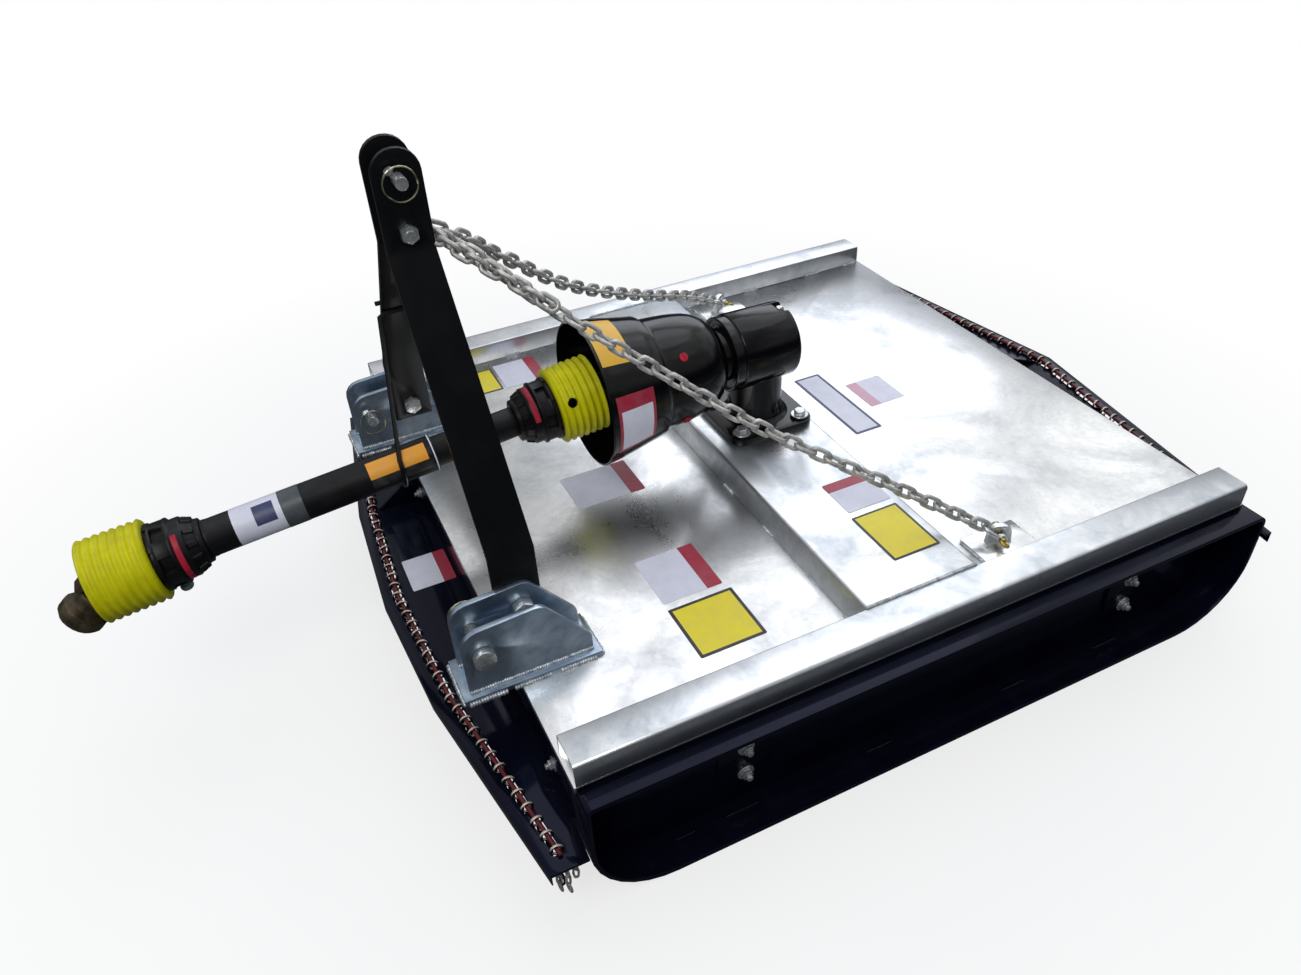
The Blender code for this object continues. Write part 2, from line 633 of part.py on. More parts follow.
def build_mast(paint, zinc):
    """Two bent flat bars bolted to the brackets, tied at the top by a spacer bolt and the top pin."""
    foot_x, top_x = mast_profile()
    t = MAST_THICK
    run = Vector((top_x - foot_x, MAST_HIGH_BEND - MAST_LOW_BEND))
    shift = t * math.tan(math.atan2(foot_x - top_x, run[1]) / 2)
    low_end = above(MAST_BOLT_Z) - 0.030
    outline = [(foot_x, low_end), (foot_x + t, low_end), (foot_x + t, above(MAST_LOW_BEND) + shift),
               (top_x + t, above(MAST_HIGH_BEND) + shift), (top_x + t, above(MAST_TOP)),
               (top_x, above(MAST_TOP)), (top_x, above(MAST_HIGH_BEND)), (foot_x, above(MAST_LOW_BEND))]
    front = MAST_BOLT_Y - MAST_WIDTH / 2
    rear = MAST_BOLT_Y + MAST_WIDTH / 2
    bar = plate(outline, front, rear, "Y")
    half = MAST_WIDTH / 2
    limits = fillet([(front, low_end - 0.01), (rear, low_end - 0.01), (rear, above(MAST_TOP)), (front, above(MAST_TOP))],
                    [0, 0, half - 0.001, half - 0.001], 6)
    trim = plate(limits, 0, foot_x + 0.1, "X")
    bar.modifiers.new("round", "BOOLEAN").operation = "INTERSECT"
    bar.modifiers["round"].object = trim
    bar = bake(bar)
    bpy.data.objects.remove(trim)
    holes = [rod((foot_x - 0.05, MAST_BOLT_Y, above(MAST_BOLT_Z)), (foot_x + 0.05, MAST_BOLT_Y, above(MAST_BOLT_Z)),
                 MAST_BOLT_R + SEAT),
             rod((0, MAST_BOLT_Y, above(TOP_PIN_Z)), (0.1, MAST_BOLT_Y, above(TOP_PIN_Z)), TOP_PIN_R + SEAT),
             rod((0, MAST_BOLT_Y, above(TIE_BOLT_Z)), (0.1, MAST_BOLT_Y, above(TIE_BOLT_Z)), TIE_BOLT_R + SEAT)]
    both_sides(cut(bar, holes), "mast_bar", paint)

    pin_end = top_x + t + 0.026
    pin = rod((-top_x - t - 0.008, MAST_BOLT_Y, above(TOP_PIN_Z)), (pin_end, MAST_BOLT_Y, above(TOP_PIN_Z)), TOP_PIN_R)
    head = rod((-top_x - t - 0.014, MAST_BOLT_Y, above(TOP_PIN_Z)), (-top_x - t - SEAT, MAST_BOLT_Y, above(TOP_PIN_Z)), 0.015)
    place(join(pin, [head]), "top_link_pin", zinc)

    z = above(TIE_BOLT_Z)
    bolt = rod((-top_x - t - 0.012, MAST_BOLT_Y, z), (top_x + t + 0.018, MAST_BOLT_Y, z), TIE_BOLT_R, 12)
    head = rod((-top_x - t - 0.012, MAST_BOLT_Y, z), (-top_x - t - SEAT, MAST_BOLT_Y, z), 0.0138, 6)
    nut = rod((top_x + t + SEAT, MAST_BOLT_Y, z), (top_x + t + 0.012, MAST_BOLT_Y, z), 0.0138, 6)
    spacer = rod((-top_x + SEAT, MAST_BOLT_Y, z), (top_x - SEAT, MAST_BOLT_Y, z), SPACER_R, 12)
    place(join(bolt, [head, nut, spacer]), "mast_tie_bolt", zinc)

    z = above(MAST_BOLT_Z)
    end = BRACKET_INNER + BRACKET_PLATE
    bolt = rod((foot_x - 0.012, MAST_BOLT_Y, z), (end + 0.028, MAST_BOLT_Y, z), MAST_BOLT_R, 12)
    head = rod((foot_x - 0.012, MAST_BOLT_Y, z), (foot_x - SEAT, MAST_BOLT_Y, z), 0.0173, 6)
    nut = rod((end + SEAT, MAST_BOLT_Y, z), (end + 0.018, MAST_BOLT_Y, z), 0.0173, 6)
    both_sides(join(bolt, [head, nut]), "mast_foot_bolt", zinc)


def build_gearbox(paint):
    """Right-angle gearbox: horizontal drum, column, square foot on the channel, and the shield."""
    axis = above(INPUT_Z)
    seat = above(CHANNEL_HEIGHT + SEAT)
    drum = turned([(0, DRUM_REAR), (DRUM_R - DRUM_ROUND, DRUM_REAR), (DRUM_R - DRUM_ROUND / 3, DRUM_REAR - DRUM_ROUND / 3),
                   (DRUM_R, DRUM_REAR - DRUM_ROUND), (DRUM_R, -DRUM_FRONT + DRUM_RIM), (DRUM_R - DRUM_STEP, -DRUM_FRONT + DRUM_RIM),
                   (DRUM_R - DRUM_STEP, -DRUM_FRONT), (GEARBOX_NECK_R, -DRUM_FRONT), (GEARBOX_NECK_R, -NECK_END),
                   (0, -NECK_END)], 28)
    drum.data.transform(Matrix.Translation((0, ROTOR_Y, axis)) @ Matrix.Rotation(-math.pi / 2, 4, "X"))
    column = rod((0, ROTOR_Y, seat + 0.010), (0, ROTOR_Y, axis), COLUMN_R, 20)
    low = ROTOR_Y - FOOT_HALF
    high = ROTOR_Y + FOOT_HALF
    shape = fillet([(-FOOT_HALF, low), (FOOT_HALF, low), (FOOT_HALF, high), (-FOOT_HALF, high)], [FOOT_ROUND] * 4)
    foot = plate(shape, seat, seat + FOOT_THICK, "Z")
    rear = ROTOR_Y + DRUM_REAR
    brim = axis + DRUM_R
    notch = block((-NOTCH_HALF, rear - NOTCH_LONG, brim - NOTCH_DEEP), (NOTCH_HALF, rear + 0.01, brim + 0.01))
    drum = cut(drum, [notch])
    y = rear - BREATHER_IN
    breather = rod((0, y, brim - NOTCH_DEEP - 0.01), (0, y, brim), BREATHER_R, 12)
    breather_head = rod((0, y, brim - NOTCH_DEEP + 0.006), (0, y, brim - 0.004), BREATHER_HEAD_R, 6)
    bore_r = (ROTOR_SHAFT_R + SEAT) / math.cos(math.pi / 16)
    bore = rod((0, ROTOR_Y, seat - 0.01), (0, ROTOR_Y, above(ROTOR_SHAFT_TOP) + SEAT), bore_r)
    place(cut(join(drum, [column, foot, breather, breather_head]), [bore]), "gearbox", paint)

    wall = SHIELD_WALL
    neck = (GEARBOX_NECK_R + SEAT) / math.cos(math.pi / 28)
    root_r = SHIELD_STEPS[-1][0]
    inside = [(radius - wall, depth + (wall if depth < SHIELD_STEPS[3][1] else 0)) for radius, depth in SHIELD_STEPS[::-1]]
    shield = turned([*SHIELD_STEPS, (root_r, 0.0), (neck, 0.0), (neck, wall), *inside], 28)
    shield.data.transform(Matrix.Translation((0, ROTOR_Y - SHIELD_BASE, axis)) @ Matrix.Rotation(math.pi / 2, 4, "X"))
    place(shield, "input_shield", paint)


def build_driveline(plastic, yellow, steel):
    """Guarded telescopic drive shaft with a universal joint under the cone at each end."""
    axis = above(INPUT_Z)
    stub = rod((0, ROTOR_Y - NECK_END - 0.0005, axis), (0, JOINT_Y + FORK_BASE + 0.008, axis), STUB_R)
    place(join(stub, [fork((0, JOINT_Y, axis), 0)]), "input_yoke", steel)

    shaft_yoke = fork((0, 0, 0), 90)
    shaft_yoke.data.transform(Matrix.Rotation(math.pi / 2, 4, "X"))
    tail = rod((0, 0, FORK_BASE + 0.005), (0, 0, COLLAR_REAR + TAIL_LONG), STUB_R)
    place(along_shaft(join(shaft_yoke, [tail, *cross(CROSS_SLACK)])), "rear_shaft_yoke", steel)

    cone = turned(cone_profile(CONE_REAR, COLLAR_REAR))
    place(along_shaft(cone), "rear_cone", yellow)
    base = COLLAR_REAR
    end = base + COLLAR_REAR_LONG
    steps = [(radius, end - distance) for radius, distance in COLLAR_STEPS]
    pocket = base + TAIL_LONG + 0.001
    collar = turned([(0.0, end), *steps, (COLLAR_R, end - COLLAR_TAPER), (COLLAR_R, base + SEAT),
                     (STUB_R + SEAT, base + SEAT), (STUB_R + SEAT, pocket), (0.0, pocket)], 20)
    place(along_shaft(collar), "rear_collar", plastic)
    tube = rod((0, 0, end + SEAT), (0, 0, INNER_END), INNER_TUBE_R, 24)
    place(smooth(along_shaft(tube)), "inner_tube", plastic)

    front = COLLAR_FRONT
    bore = INNER_TUBE_R + TUBE_CLEAR
    tube = turned([(TUBE_R, front - SEAT), (TUBE_R, OUTER_START), (bore, OUTER_START), (bore, front - SEAT)])
    place(smooth(along_shaft(tube)), "outer_tube", plastic)
    end = front + COLLAR_FRONT_LONG
    steps = [(radius, front + distance) for radius, distance in COLLAR_STEPS]
    pocket = end - TAIL_LONG - 0.003
    collar = turned([(0.0, front), *steps, (COLLAR_R, front + COLLAR_TAPER), (COLLAR_R, end),
                     (STUB_R + SEAT, end), (STUB_R + SEAT, pocket), (0.0, pocket)], 20)
    place(along_shaft(collar), "front_collar", plastic)
    cone = turned([(r, FRONT_JOINT - z) for r, z in
                   cone_profile(CONE_REAR - CONE_FRONT_PAST, FRONT_JOINT - end - SEAT)][::-1])
    place(along_shaft(cone), "front_cone", yellow)

    inner = fork((0, 0, 0), 0)
    inner.data.transform(Matrix.Rotation(math.pi / 2, 4, "X"))
    inner.data.transform(Matrix.Rotation(math.pi, 4, "X"))
    tail = rod((0, 0, -FORK_BASE - 0.005), (0, 0, end - TAIL_LONG - 0.002 - FRONT_JOINT), STUB_R)
    place(along_shaft(join(inner, [tail]), FRONT_JOINT), "front_shaft_yoke", steel)

    outer = fork((0, 0, 0), 90, SLEEVE_DISC_R)
    outer.data.transform(Matrix.Rotation(math.pi / 2, 4, "X"))
    sleeve = turned([(0.0, SLEEVE_END), (SLEEVE_END_R, SLEEVE_END), (SLEEVE_R, SLEEVE_END - SLEEVE_END_ROUND),
                     (SLEEVE_R, SLEEVE_NECK_END + SLEEVE_FLARE), (SLEEVE_NECK_R, SLEEVE_NECK_END),
                     (SLEEVE_NECK_R, FORK_BASE + 0.004), (0.0, FORK_BASE + 0.004)], 20)
    bore = rod((0, 0, FORK_BASE - 0.004), (0, 0, SLEEVE_END + 0.01), STUB_R)
    outer = cut(join(outer, [sleeve, *cross(SEAT)]), [bore])
    outer.data.transform(Matrix.Rotation(math.radians(YOKE_DROOP), 4, "X"))
    place(along_shaft(outer, FRONT_JOINT), "tractor_yoke", steel)


def cone_profile(mouth, neck):
    """Ribbed guard cone, as radius and distance pairs: outside from mouth to neck, then back inside."""
    step = (neck - SEAT - mouth) / CONE_RIBS
    outside = []
    for i in range(CONE_RIBS):
        start = mouth + step * i
        outside += [(CONE_R - CONE_RIB, start), (CONE_R, start + step * 0.4)]
    outside.append((CONE_R - CONE_RIB, neck - SEAT))
    return outside + [(CONE_NECK_R, neck - SEAT), (CONE_NECK_R, neck - SEAT - 0.004),
                      (CONE_R - CONE_WALL, neck - SEAT - 0.006), (CONE_R - CONE_WALL, mouth)]


def fork(centre, turn, disc_r=FORK_DISC_R):
    """Yoke of a universal joint: a base disc at +Y and two ears, turned about Y by whole degrees."""
    ears = [block((side * FORK_INNER if side > 0 else -FORK_OUTER, -EAR_REACH, -EAR_HALF),
                  (FORK_OUTER if side > 0 else -FORK_INNER, FORK_BASE + 0.002, EAR_HALF)) for side in (1, -1)]
    base = rod((0, FORK_BASE, 0), (0, FORK_BASE + FORK_DISC, 0), disc_r, 20)
    result = join(base, ears)
    result.data.transform(Matrix.Translation(centre) @ Matrix.Rotation(math.radians(turn), 4, "Y"))
    return result


def cross(slack):
    """Spider of a universal joint: one bar fused into its own fork's ears, one across with end play."""
    own = rod((0, -FORK_INNER - 0.002, 0), (0, FORK_INNER + 0.002, 0), CROSS_R, 12)
    reach = FORK_INNER - slack
    return [own, rod((-reach, 0, 0), (reach, 0, 0), CROSS_R - 0.0005, 12)]


def build_hook(paint):
    """Bent rod straddling the right mast bar, its lower end curled under the shaft's tube."""
    slope = math.radians(SHAFT_SLOPE)
    run = (JOINT_Y - HOOK_Y) / math.cos(slope)
    tube = Vector((0, HOOK_Y, above(INPUT_Z) - run * math.sin(slope)))
    reach = TUBE_R / math.cos(slope) + HOOK_R + SEAT
    pivot = hook_pivot()
    inward = -math.atan2(bar_lean(), 1.0) - math.radians(HOOK_SWING / 2)
    across = (MAST_THICK / 2 + HOOK_R + SEAT) / math.cos(math.radians(HOOK_SWING / 2))
    side = Vector((math.cos(inward), 0, math.sin(inward))) * across
    near = pivot + side
    far = pivot - side
    front = MAST_BOLT_Y - MAST_WIDTH / 2 - HOOK_R - 0.003
    rear = MAST_BOLT_Y + MAST_WIDTH / 2 + HOOK_R + 0.007
    line = [(far.x, front, far.z), (far.x, rear - across, far.z)]
    for step in range(1, 6):
        turn = math.pi * step / 6
        spot = pivot - side * math.cos(turn)
        line.append((spot.x, rear - across + across * math.sin(turn), spot.z))
    line += [(near.x, rear - across, near.z), (near.x, front + 0.010, near.z), (near.x + 0.003, front, near.z - 0.004)]
    first = math.atan2(tube.z - near.z, tube.x - near.x)
    first += math.asin(reach / math.hypot(tube.x - near.x, tube.z - near.z)) + math.pi / 2
    last = math.radians(HOOK_END)
    for step in range(13):
        angle = first + (last - first) * step / 12
        line.append((tube.x + reach * math.cos(angle), tube.y, tube.z + reach * math.sin(angle)))
    line.append((line[-1][0] + 0.014 * math.sin(last), tube.y, line[-1][2] - 0.014 * math.cos(last)))
    place(wire(line, HOOK_R, 1), "shaft_hook", paint)


def bar_lean():
    """How far a mast bar leans inwards for each metre that it rises between its bends."""
    foot_x, top_x = mast_profile()
    return (foot_x - top_x) / (MAST_HIGH_BEND - MAST_LOW_BEND)


def hook_pivot():
    """Where the hook's straddle sits round the right mast bar, on the bar's middle."""
    foot_x, top_x = mast_profile()
    share = (HOOK_Z - MAST_LOW_BEND) / (MAST_HIGH_BEND - MAST_LOW_BEND)
    inner = foot_x + (top_x - foot_x) * share
    half = MAST_THICK / 2
    lean = math.atan(bar_lean())
    return Vector((-(inner + half * math.cos(lean)), 0, above(HOOK_Z) + half * math.sin(lean)))


def link_ring(pitch, width, radius):
    """One chain link of square-section wire lying in the XZ plane, its length along Z."""
    half = width / 2 - radius
    tall = pitch / 2 + radius
    end = half * 0.72
    loop = [(half, 0, 0), (end, 0, tall), (-end, 0, tall), (-half, 0, 0), (-end, 0, -tall), (end, 0, -tall)]
    return wire(loop, radius, 0, True)


def build_chain(side, name, route, anchor, pull, material):
    """Check chain: a ring on the mast's tie bolt, then links on a smooth route to the anchor."""
    hub = Vector((side * RING_X, MAST_BOLT_Y + RING_R - SPACER_R - SEAT, above(TIE_BOLT_Z)))
    points = [Vector((side * x, y, above(z))) for x, y, z in route]
    lead = Vector((0, points[0].y - hub.y, points[0].z - hub.z)).normalized()
    ring_wire = hub + lead * (RING_R + CHAIN_R)
    spacing = CHAIN_PITCH
    for _ in range(3):
        start = ring_wire + lead * (spacing / 2 - CHAIN_R + CHAIN_BITE)
        end_at = anchor - pull * ((spacing - CHAIN_BITE) / 2 - SHACKLE_R - SEAT)
        line = smooth_line([start] + points + [end_at])
        length = sum((b - a).length for a, b in zip(line, line[1:]))
        count = 2 * round((length / CHAIN_PITCH + 1) / 2)
        spacing = length / (count - 1)
    size = (RING_R + CHAIN_R) / math.cos(math.pi / 12)
    ring = [hub + Vector((0, size * math.cos(math.pi * i / 6), size * math.sin(math.pi * i / 6))) for i in range(12)]
    links = []
    pattern = link_ring(spacing - CHAIN_BITE, CHAIN_WIDTH, CHAIN_R)
    for i in range(count):
        spot, heading = walk(line, spacing * i)
        level = heading.cross(Vector((0, 0, 1))).normalized()
        across = heading.cross(level) if i % 2 else level
        frame = Matrix((across, heading.cross(across), heading)).transposed().to_4x4()
        link = bpy.data.objects.new("link", pattern.data.copy())
        bpy.context.scene.collection.objects.link(link)
        link.data.transform(Matrix.Translation(spot) @ frame)
        links.append(link)
    bpy.data.objects.remove(pattern)
    ring_link = wire([tuple(p) for p in ring], CHAIN_R, 0, True)
    place(join(merge(links[0::2]), [merge(links[1::2] + [ring_link])]), name, material)


def smooth_line(points, steps=8):
    """A smooth curve through the given points, however far apart they are."""
    gaps = [(b - a).length for a, b in zip(points, points[1:])]
    slopes = [(b - a) / gap for a, b, gap in zip(points, points[1:], gaps)]
    tangents = [slopes[0]]
    for i in range(1, len(slopes)):
        share = gaps[i] / (gaps[i - 1] + gaps[i])
        tangents.append(slopes[i - 1] * share + slopes[i] * (1 - share))
    tangents.append(slopes[-1])
    line = []
    for i, gap in enumerate(gaps):
        a, b = points[i], points[i + 1]
        u, v = tangents[i] * gap, tangents[i + 1] * gap
        for step in range(steps):
            t = step / steps
            line.append(a * (2 * t ** 3 - 3 * t * t + 1) + u * (t ** 3 - 2 * t * t + t)
                        + b * (3 * t * t - 2 * t ** 3) + v * (t ** 3 - t * t))
    line.append(points[-1])
    return line


def walk(line, distance):
    """The point and heading at a distance along a line."""
    for a, b in zip(line, line[1:]):
        step = (b - a).length
        if distance <= step + 1e-9:
            return a + (b - a) * distance / step, (b - a).normalized()
        distance -= step
    return line[-1], (line[-1] - line[-2]).normalized()


def build_check_chains(steel, zinc, material):
    """Pads and lugs on the deck, shackles in the lugs, and the two chains up to the mast."""
    routes = ((1, "left", NEAR_ROUTE), (-1, "right", FAR_ROUTE))
    for side, word, route in routes:
        pad_low = above(SEAT)
        pad_top = pad_low + PAD_THICK
        x = side * LUG_X
        pad = block((x - LUG_PAD_HALF, LUG_Y - 0.050, pad_low), (x + LUG_PAD_HALF, LUG_Y + 0.060, pad_top))
        outline = fillet([(-0.022, pad_top - 0.002), (0.022, pad_top - 0.002),
                          (0.018, above(LUG_Z) + 0.018), (-0.018, above(LUG_Z) + 0.018)], [0, 0, 0.014, 0.014], 4)
        lug = plate(outline, -0.005, 0.005, "X", [circle((0, above(LUG_Z)), SHACKLE_PIN_R + 0.002, 12)])
        stretch = (LUG_X / ROUTE_LUG[0], LUG_Y / ROUTE_LUG[1])
        route = [route[0]] + [(x * stretch[0], y * stretch[1], z) for x, y, z in route[1:]]
        x, y, z = route[-1]
        flat = math.hypot(LUG_X - x, LUG_Y - y)
        swing = -side * math.atan2(LUG_X - x, LUG_Y - y)
        rise = math.atan2(z - LUG_Z, flat)
        facing = Matrix.Translation((side * LUG_X, LUG_Y, 0)) @ Matrix.Rotation(swing, 4, "Z")
        lug.data.transform(facing)
        place(join(pad, [lug]), "chain_lug_" + word, steel)

        ahead = Vector((0, -math.cos(rise), math.sin(rise)))
        centre = Vector((0, 0, above(LUG_Z)))
        width = SHACKLE_WIDTH / 2
        bow = [centre - Vector((width, 0, 0)), centre - Vector((width, 0, 0)) + ahead * SHACKLE_LEG]
        for step in range(1, 6):
            turn = math.pi * step / 6
            bow.append(centre + ahead * (SHACKLE_LEG + width * math.sin(turn)) - Vector((width * math.cos(turn), 0, 0)))
        bow += [centre + Vector((width, 0, 0)) + ahead * SHACKLE_LEG, centre + Vector((width, 0, 0))]
        pin = rod(centre - Vector((width + 0.006, 0, 0)), centre + Vector((width + 0.006, 0, 0)), SHACKLE_PIN_R, 12)
        shackle = join(pin, [wire([tuple(p) for p in bow], SHACKLE_R, 1)])
        shackle.data.transform(facing)
        place(shackle, "shackle_" + word, zinc)

        crown = facing @ (centre + ahead * (SHACKLE_LEG + width))
        heading = (facing.to_3x3() @ -ahead).normalized()
        build_chain(side, "check_chain_" + word, route, crown, heading, material)


def build_rotor(steel, blade_steel):
    """Blade carrier under the deck with two swinging blades."""
    y = ROTOR_Y
    top = above(ROTOR_SHAFT_TOP)
    body = turned([(0.0, top), (ROTOR_SHAFT_R, top), (ROTOR_SHAFT_R, HUB_TOP), (HUB_R, HUB_TOP), (HUB_R, PAN_TOP),
                   *PAN_OUTSIDE, (HUB_R, PAN_UNDER), (HUB_R, HUB_LOW), (0.0, HUB_LOW)], 28)
    body.data.transform(Matrix.Translation((0, y, 0)))
    blade_top = BLADE_LOW + BLADE_THICK
    additions = []
    for x in (-BLADE_PIN_X, BLADE_PIN_X):
        additions.append(rod((x, y, BLADE_LOW - 0.006), (x, y, PAN_TOP + 0.014), BLADE_PIN_R, 12))
        additions.append(rod((x, y, BLADE_LOW - 0.0103), (x, y, BLADE_LOW - SEAT), BLADE_PIN_HEAD_R, 6))
        additions.append(rod((x, y, blade_top + SEAT), (x, y, PAN_UNDER + 0.002), BLADE_BOSS_R, 16))
    place(join(body, additions), "rotor", steel)
    for side, name in ((1, "blade_a"), (-1, "blade_b")):
        outline = fillet([(BLADE_HEEL, -BLADE_HALF), (BLADE_TIP - BLADE_TIP_CUT, -BLADE_HALF - 0.005),
                          (BLADE_TIP, BLADE_TIP_CUT - BLADE_HALF - 0.005), (BLADE_TIP, BLADE_HALF + 0.005),
                          (BLADE_HEEL, BLADE_HALF)], [0.030, 0, 0, 0, 0.030], 4)
        blade = plate([(side * px, y + side * py) for px, py in outline], BLADE_LOW, blade_top, "Z",
                      [circle((side * BLADE_PIN_X, y), BLADE_PIN_R + SEAT + 0.0002)])
        place(blade, name, blade_steel)


def centre_machine():
    """Puts the middle of the footprint over the origin."""
    bpy.context.view_layer.update()
    low = 10.0
    high = -10.0
    for obj in collection.objects:
        for corner in obj.bound_box:
            y = (obj.matrix_world @ Vector(corner)).y
            low = min(low, y)
            high = max(high, y)
    root.location.y = -(low + high) / 2
    bpy.context.view_layer.update()


def build():
    global collection, root
    empty_scene()
    collection = bpy.data.collections.new("rotary_slasher")
    bpy.context.scene.collection.children.link(collection)
    root = bpy.data.objects.new("machine", None)
    bpy.context.scene.collection.objects.link(root)
    galvanised = make_material("galvanised_steel", (0.62, 0.64, 0.66), 0.35, 1.0)
    zinc = make_material("zinc_plated_steel", (0.60, 0.62, 0.66), 0.30, 1.0)
    enamel = make_material("black_enamel", (0.008, 0.009, 0.014), 0.25, 0.0)
    satin = make_material("satin_black_paint", (0.006, 0.006, 0.008), 0.45, 0.0)
    casting = make_material("gearbox_black", (0.006, 0.006, 0.007), 0.30, 0.0)
    plastic = make_material("black_plastic", (0.012, 0.012, 0.013), 0.45, 0.0)
    yellow = make_material("yellow_plastic", (0.48, 0.45, 0.01), 0.45, 0.0)
    bare = make_material("oiled_steel", (0.08, 0.07, 0.055), 0.45, 0.8)
    chain = make_material("chain_steel", (0.30, 0.30, 0.31), 0.45, 1.0)
    build_deck(galvanised)
    build_frame(enamel)
    behind_skid = SKID_PAST_DECK + SEAT
    rear_fin = GUARD_REAR_DROP - DECK_LIP - 2 * SEAT
    build_guard("front", GUARD_FRONT, 0.0, -1, -GUARD_UNDER, SEAT, DECK_HEIGHT - PANEL_DROP,
                GUARD_END_X - CURTAIN_IN_FRONT, (-GUARD_BEND_X, GUARD_BEND_X), FIN_HEIGHT_FRONT, enamel, chain)
    build_guard("rear", GUARD_REAR, DECK_LENGTH, 1, -SHEET, behind_skid, DECK_HEIGHT - GUARD_REAR_DROP,
                SKIRT_X - CURTAIN_IN_REAR, (0.0,), rear_fin, enamel, chain)
    build_bracket(galvanised, zinc)
    build_mast(satin, zinc)
    build_gearbox(casting)
    build_driveline(plastic, yellow, bare)
    build_hook(satin)
    build_check_chains(galvanised, zinc, chain)
    build_rotor(enamel, bare)
    centre_machine()


build()
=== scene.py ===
import json
import math
import random

import bmesh
import bpy
from mathutils import Matrix, Vector


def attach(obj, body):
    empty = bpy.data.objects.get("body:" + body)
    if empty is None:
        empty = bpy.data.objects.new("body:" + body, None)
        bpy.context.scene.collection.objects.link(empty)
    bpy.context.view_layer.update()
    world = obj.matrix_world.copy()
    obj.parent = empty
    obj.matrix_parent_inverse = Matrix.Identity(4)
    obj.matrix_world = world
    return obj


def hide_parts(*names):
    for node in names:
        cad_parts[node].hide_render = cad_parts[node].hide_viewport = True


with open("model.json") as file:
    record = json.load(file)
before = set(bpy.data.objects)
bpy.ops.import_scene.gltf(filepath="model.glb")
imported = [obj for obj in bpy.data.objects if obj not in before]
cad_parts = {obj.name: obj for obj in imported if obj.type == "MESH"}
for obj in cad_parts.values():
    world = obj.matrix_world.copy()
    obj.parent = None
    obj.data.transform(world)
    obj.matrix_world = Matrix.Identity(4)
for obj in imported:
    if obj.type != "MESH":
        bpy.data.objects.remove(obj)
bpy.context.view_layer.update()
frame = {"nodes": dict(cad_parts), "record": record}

record = frame["record"]
bodyOf = {node: body for body, nodes in record["behaviour"]["bodies"].items() for node in nodes}
dice = random.Random(11)

# the deck's front edge and its top, which all the places below are counted from
deckFront = -0.40436
deckTop = 0.248
# the rotor's axis behind that edge, the input axis over that top, and a rail's inner edge from the middle
rotorAt = 0.636
axisHigh = 0.202
railEdge = 0.5465


def onDeck(x, y, z):
    return Vector((x, deckFront + y, deckTop + z))


def shift(place):
    return Matrix.Translation(place)


def turned(angle, axis):
    return Matrix.Rotation(angle, 4, axis)


def hexToLinear(text):
    parts = [int(text[i:i + 2], 16) / 255 for i in (1, 3, 5)]
    linear = [c / 12.92 if c <= 0.04045 else ((c + 0.055) / 1.055) ** 2.4 for c in parts]
    return (*linear, 1.0)


def fillNode(tree, node, settings=None, links=None):
    # a ramp is given as places and hex colours, a link as a socket or as a node with its first output
    for key, value in (settings or {}).items():
        if key == "ramp":
            stops = node.color_ramp.elements
            while len(stops) < len(value):
                stops.new(0.5)
            for stop, (place, colour) in zip(stops, value):
                stop.position = place
                stop.color = hexToLinear(colour) if isinstance(colour, str) else colour
        elif isinstance(key, int) or key in node.inputs:
            node.inputs[key].default_value = value
        else:
            setattr(node, key, value)
    for key, source in (links or {}).items():
        socket = source.outputs[0] if isinstance(source, bpy.types.Node) else source
        tree.links.new(socket, node.inputs[key])
    return node


def addNode(tree, kind, settings=None, links=None):
    return fillNode(tree, tree.nodes.new("ShaderNode" + kind), settings, links)


def startMaterial(name):
    material = bpy.data.materials.new(name)
    material.use_nodes = True
    tree = material.node_tree
    shader = tree.nodes["Principled BSDF"]
    place = addNode(tree, "TexCoord").outputs["Object"]
    return material, tree, shader, place


# camera, light and floor

cameraSettings = {
    "place": (1.4063, -0.2081, 1.1289),  # from the deck's front edge and top
    "azimuth": 66.464,
    "elevation": 37.531,
    "roll": -3.4225,
    "focalPixels": 988.13,
    "framePixels": (1301, 975),
}


def makeCamera(settings):
    turn = math.radians(settings["azimuth"])
    rise = math.radians(settings["elevation"])
    roll = math.radians(settings["roll"])
    back = Vector((math.sin(turn) * math.cos(rise), -math.cos(turn) * math.cos(rise), math.sin(rise)))
    right = Vector((math.cos(turn), math.sin(turn), 0))
    up = back.cross(right)
    across = math.cos(roll) * right + math.sin(roll) * up
    upward = math.cos(roll) * up - math.sin(roll) * right
    data = bpy.data.cameras.new("photoCamera")
    data.sensor_width = 36.0
    data.lens = settings["focalPixels"] * data.sensor_width / settings["framePixels"][0]
    data.clip_start = 0.05
    camera = bpy.data.objects.new("photoCamera", data)
    bpy.context.scene.collection.objects.link(camera)
    lie = Matrix((across, upward, back)).transposed().to_4x4()
    camera.matrix_world = shift(onDeck(*settings["place"])) @ lie
    bpy.context.scene.camera = camera


lampTable = (
    # name, place, size in metres, watts, colour
    ("keyLamp", (2.2, -2.0, 3.6), 2.2, 62, "#FFFDF8"),
    ("skyLamp", (-0.6, 0.8, 4.0), 3.6, 40, "#F1F5FF"),
    ("rearLamp", (-3.4, 2.8, 2.4), 3.2, 34, "#EDF3FF"),
)


def makeLamps():
    for name, place, size, watts, colour in lampTable:
        data = bpy.data.lights.new(name, "AREA")
        data.shape = "DISK"
        data.size = size
        data.energy = watts
        data.color = hexToLinear(colour)[:3]
        lamp = bpy.data.objects.new(name, data)
        bpy.context.scene.collection.objects.link(lamp)
        aim = (Vector((0, 0, 0.2)) - Vector(place)).to_track_quat("-Z", "Y")
        lamp.matrix_world = shift(place) @ aim.to_matrix().to_4x4()


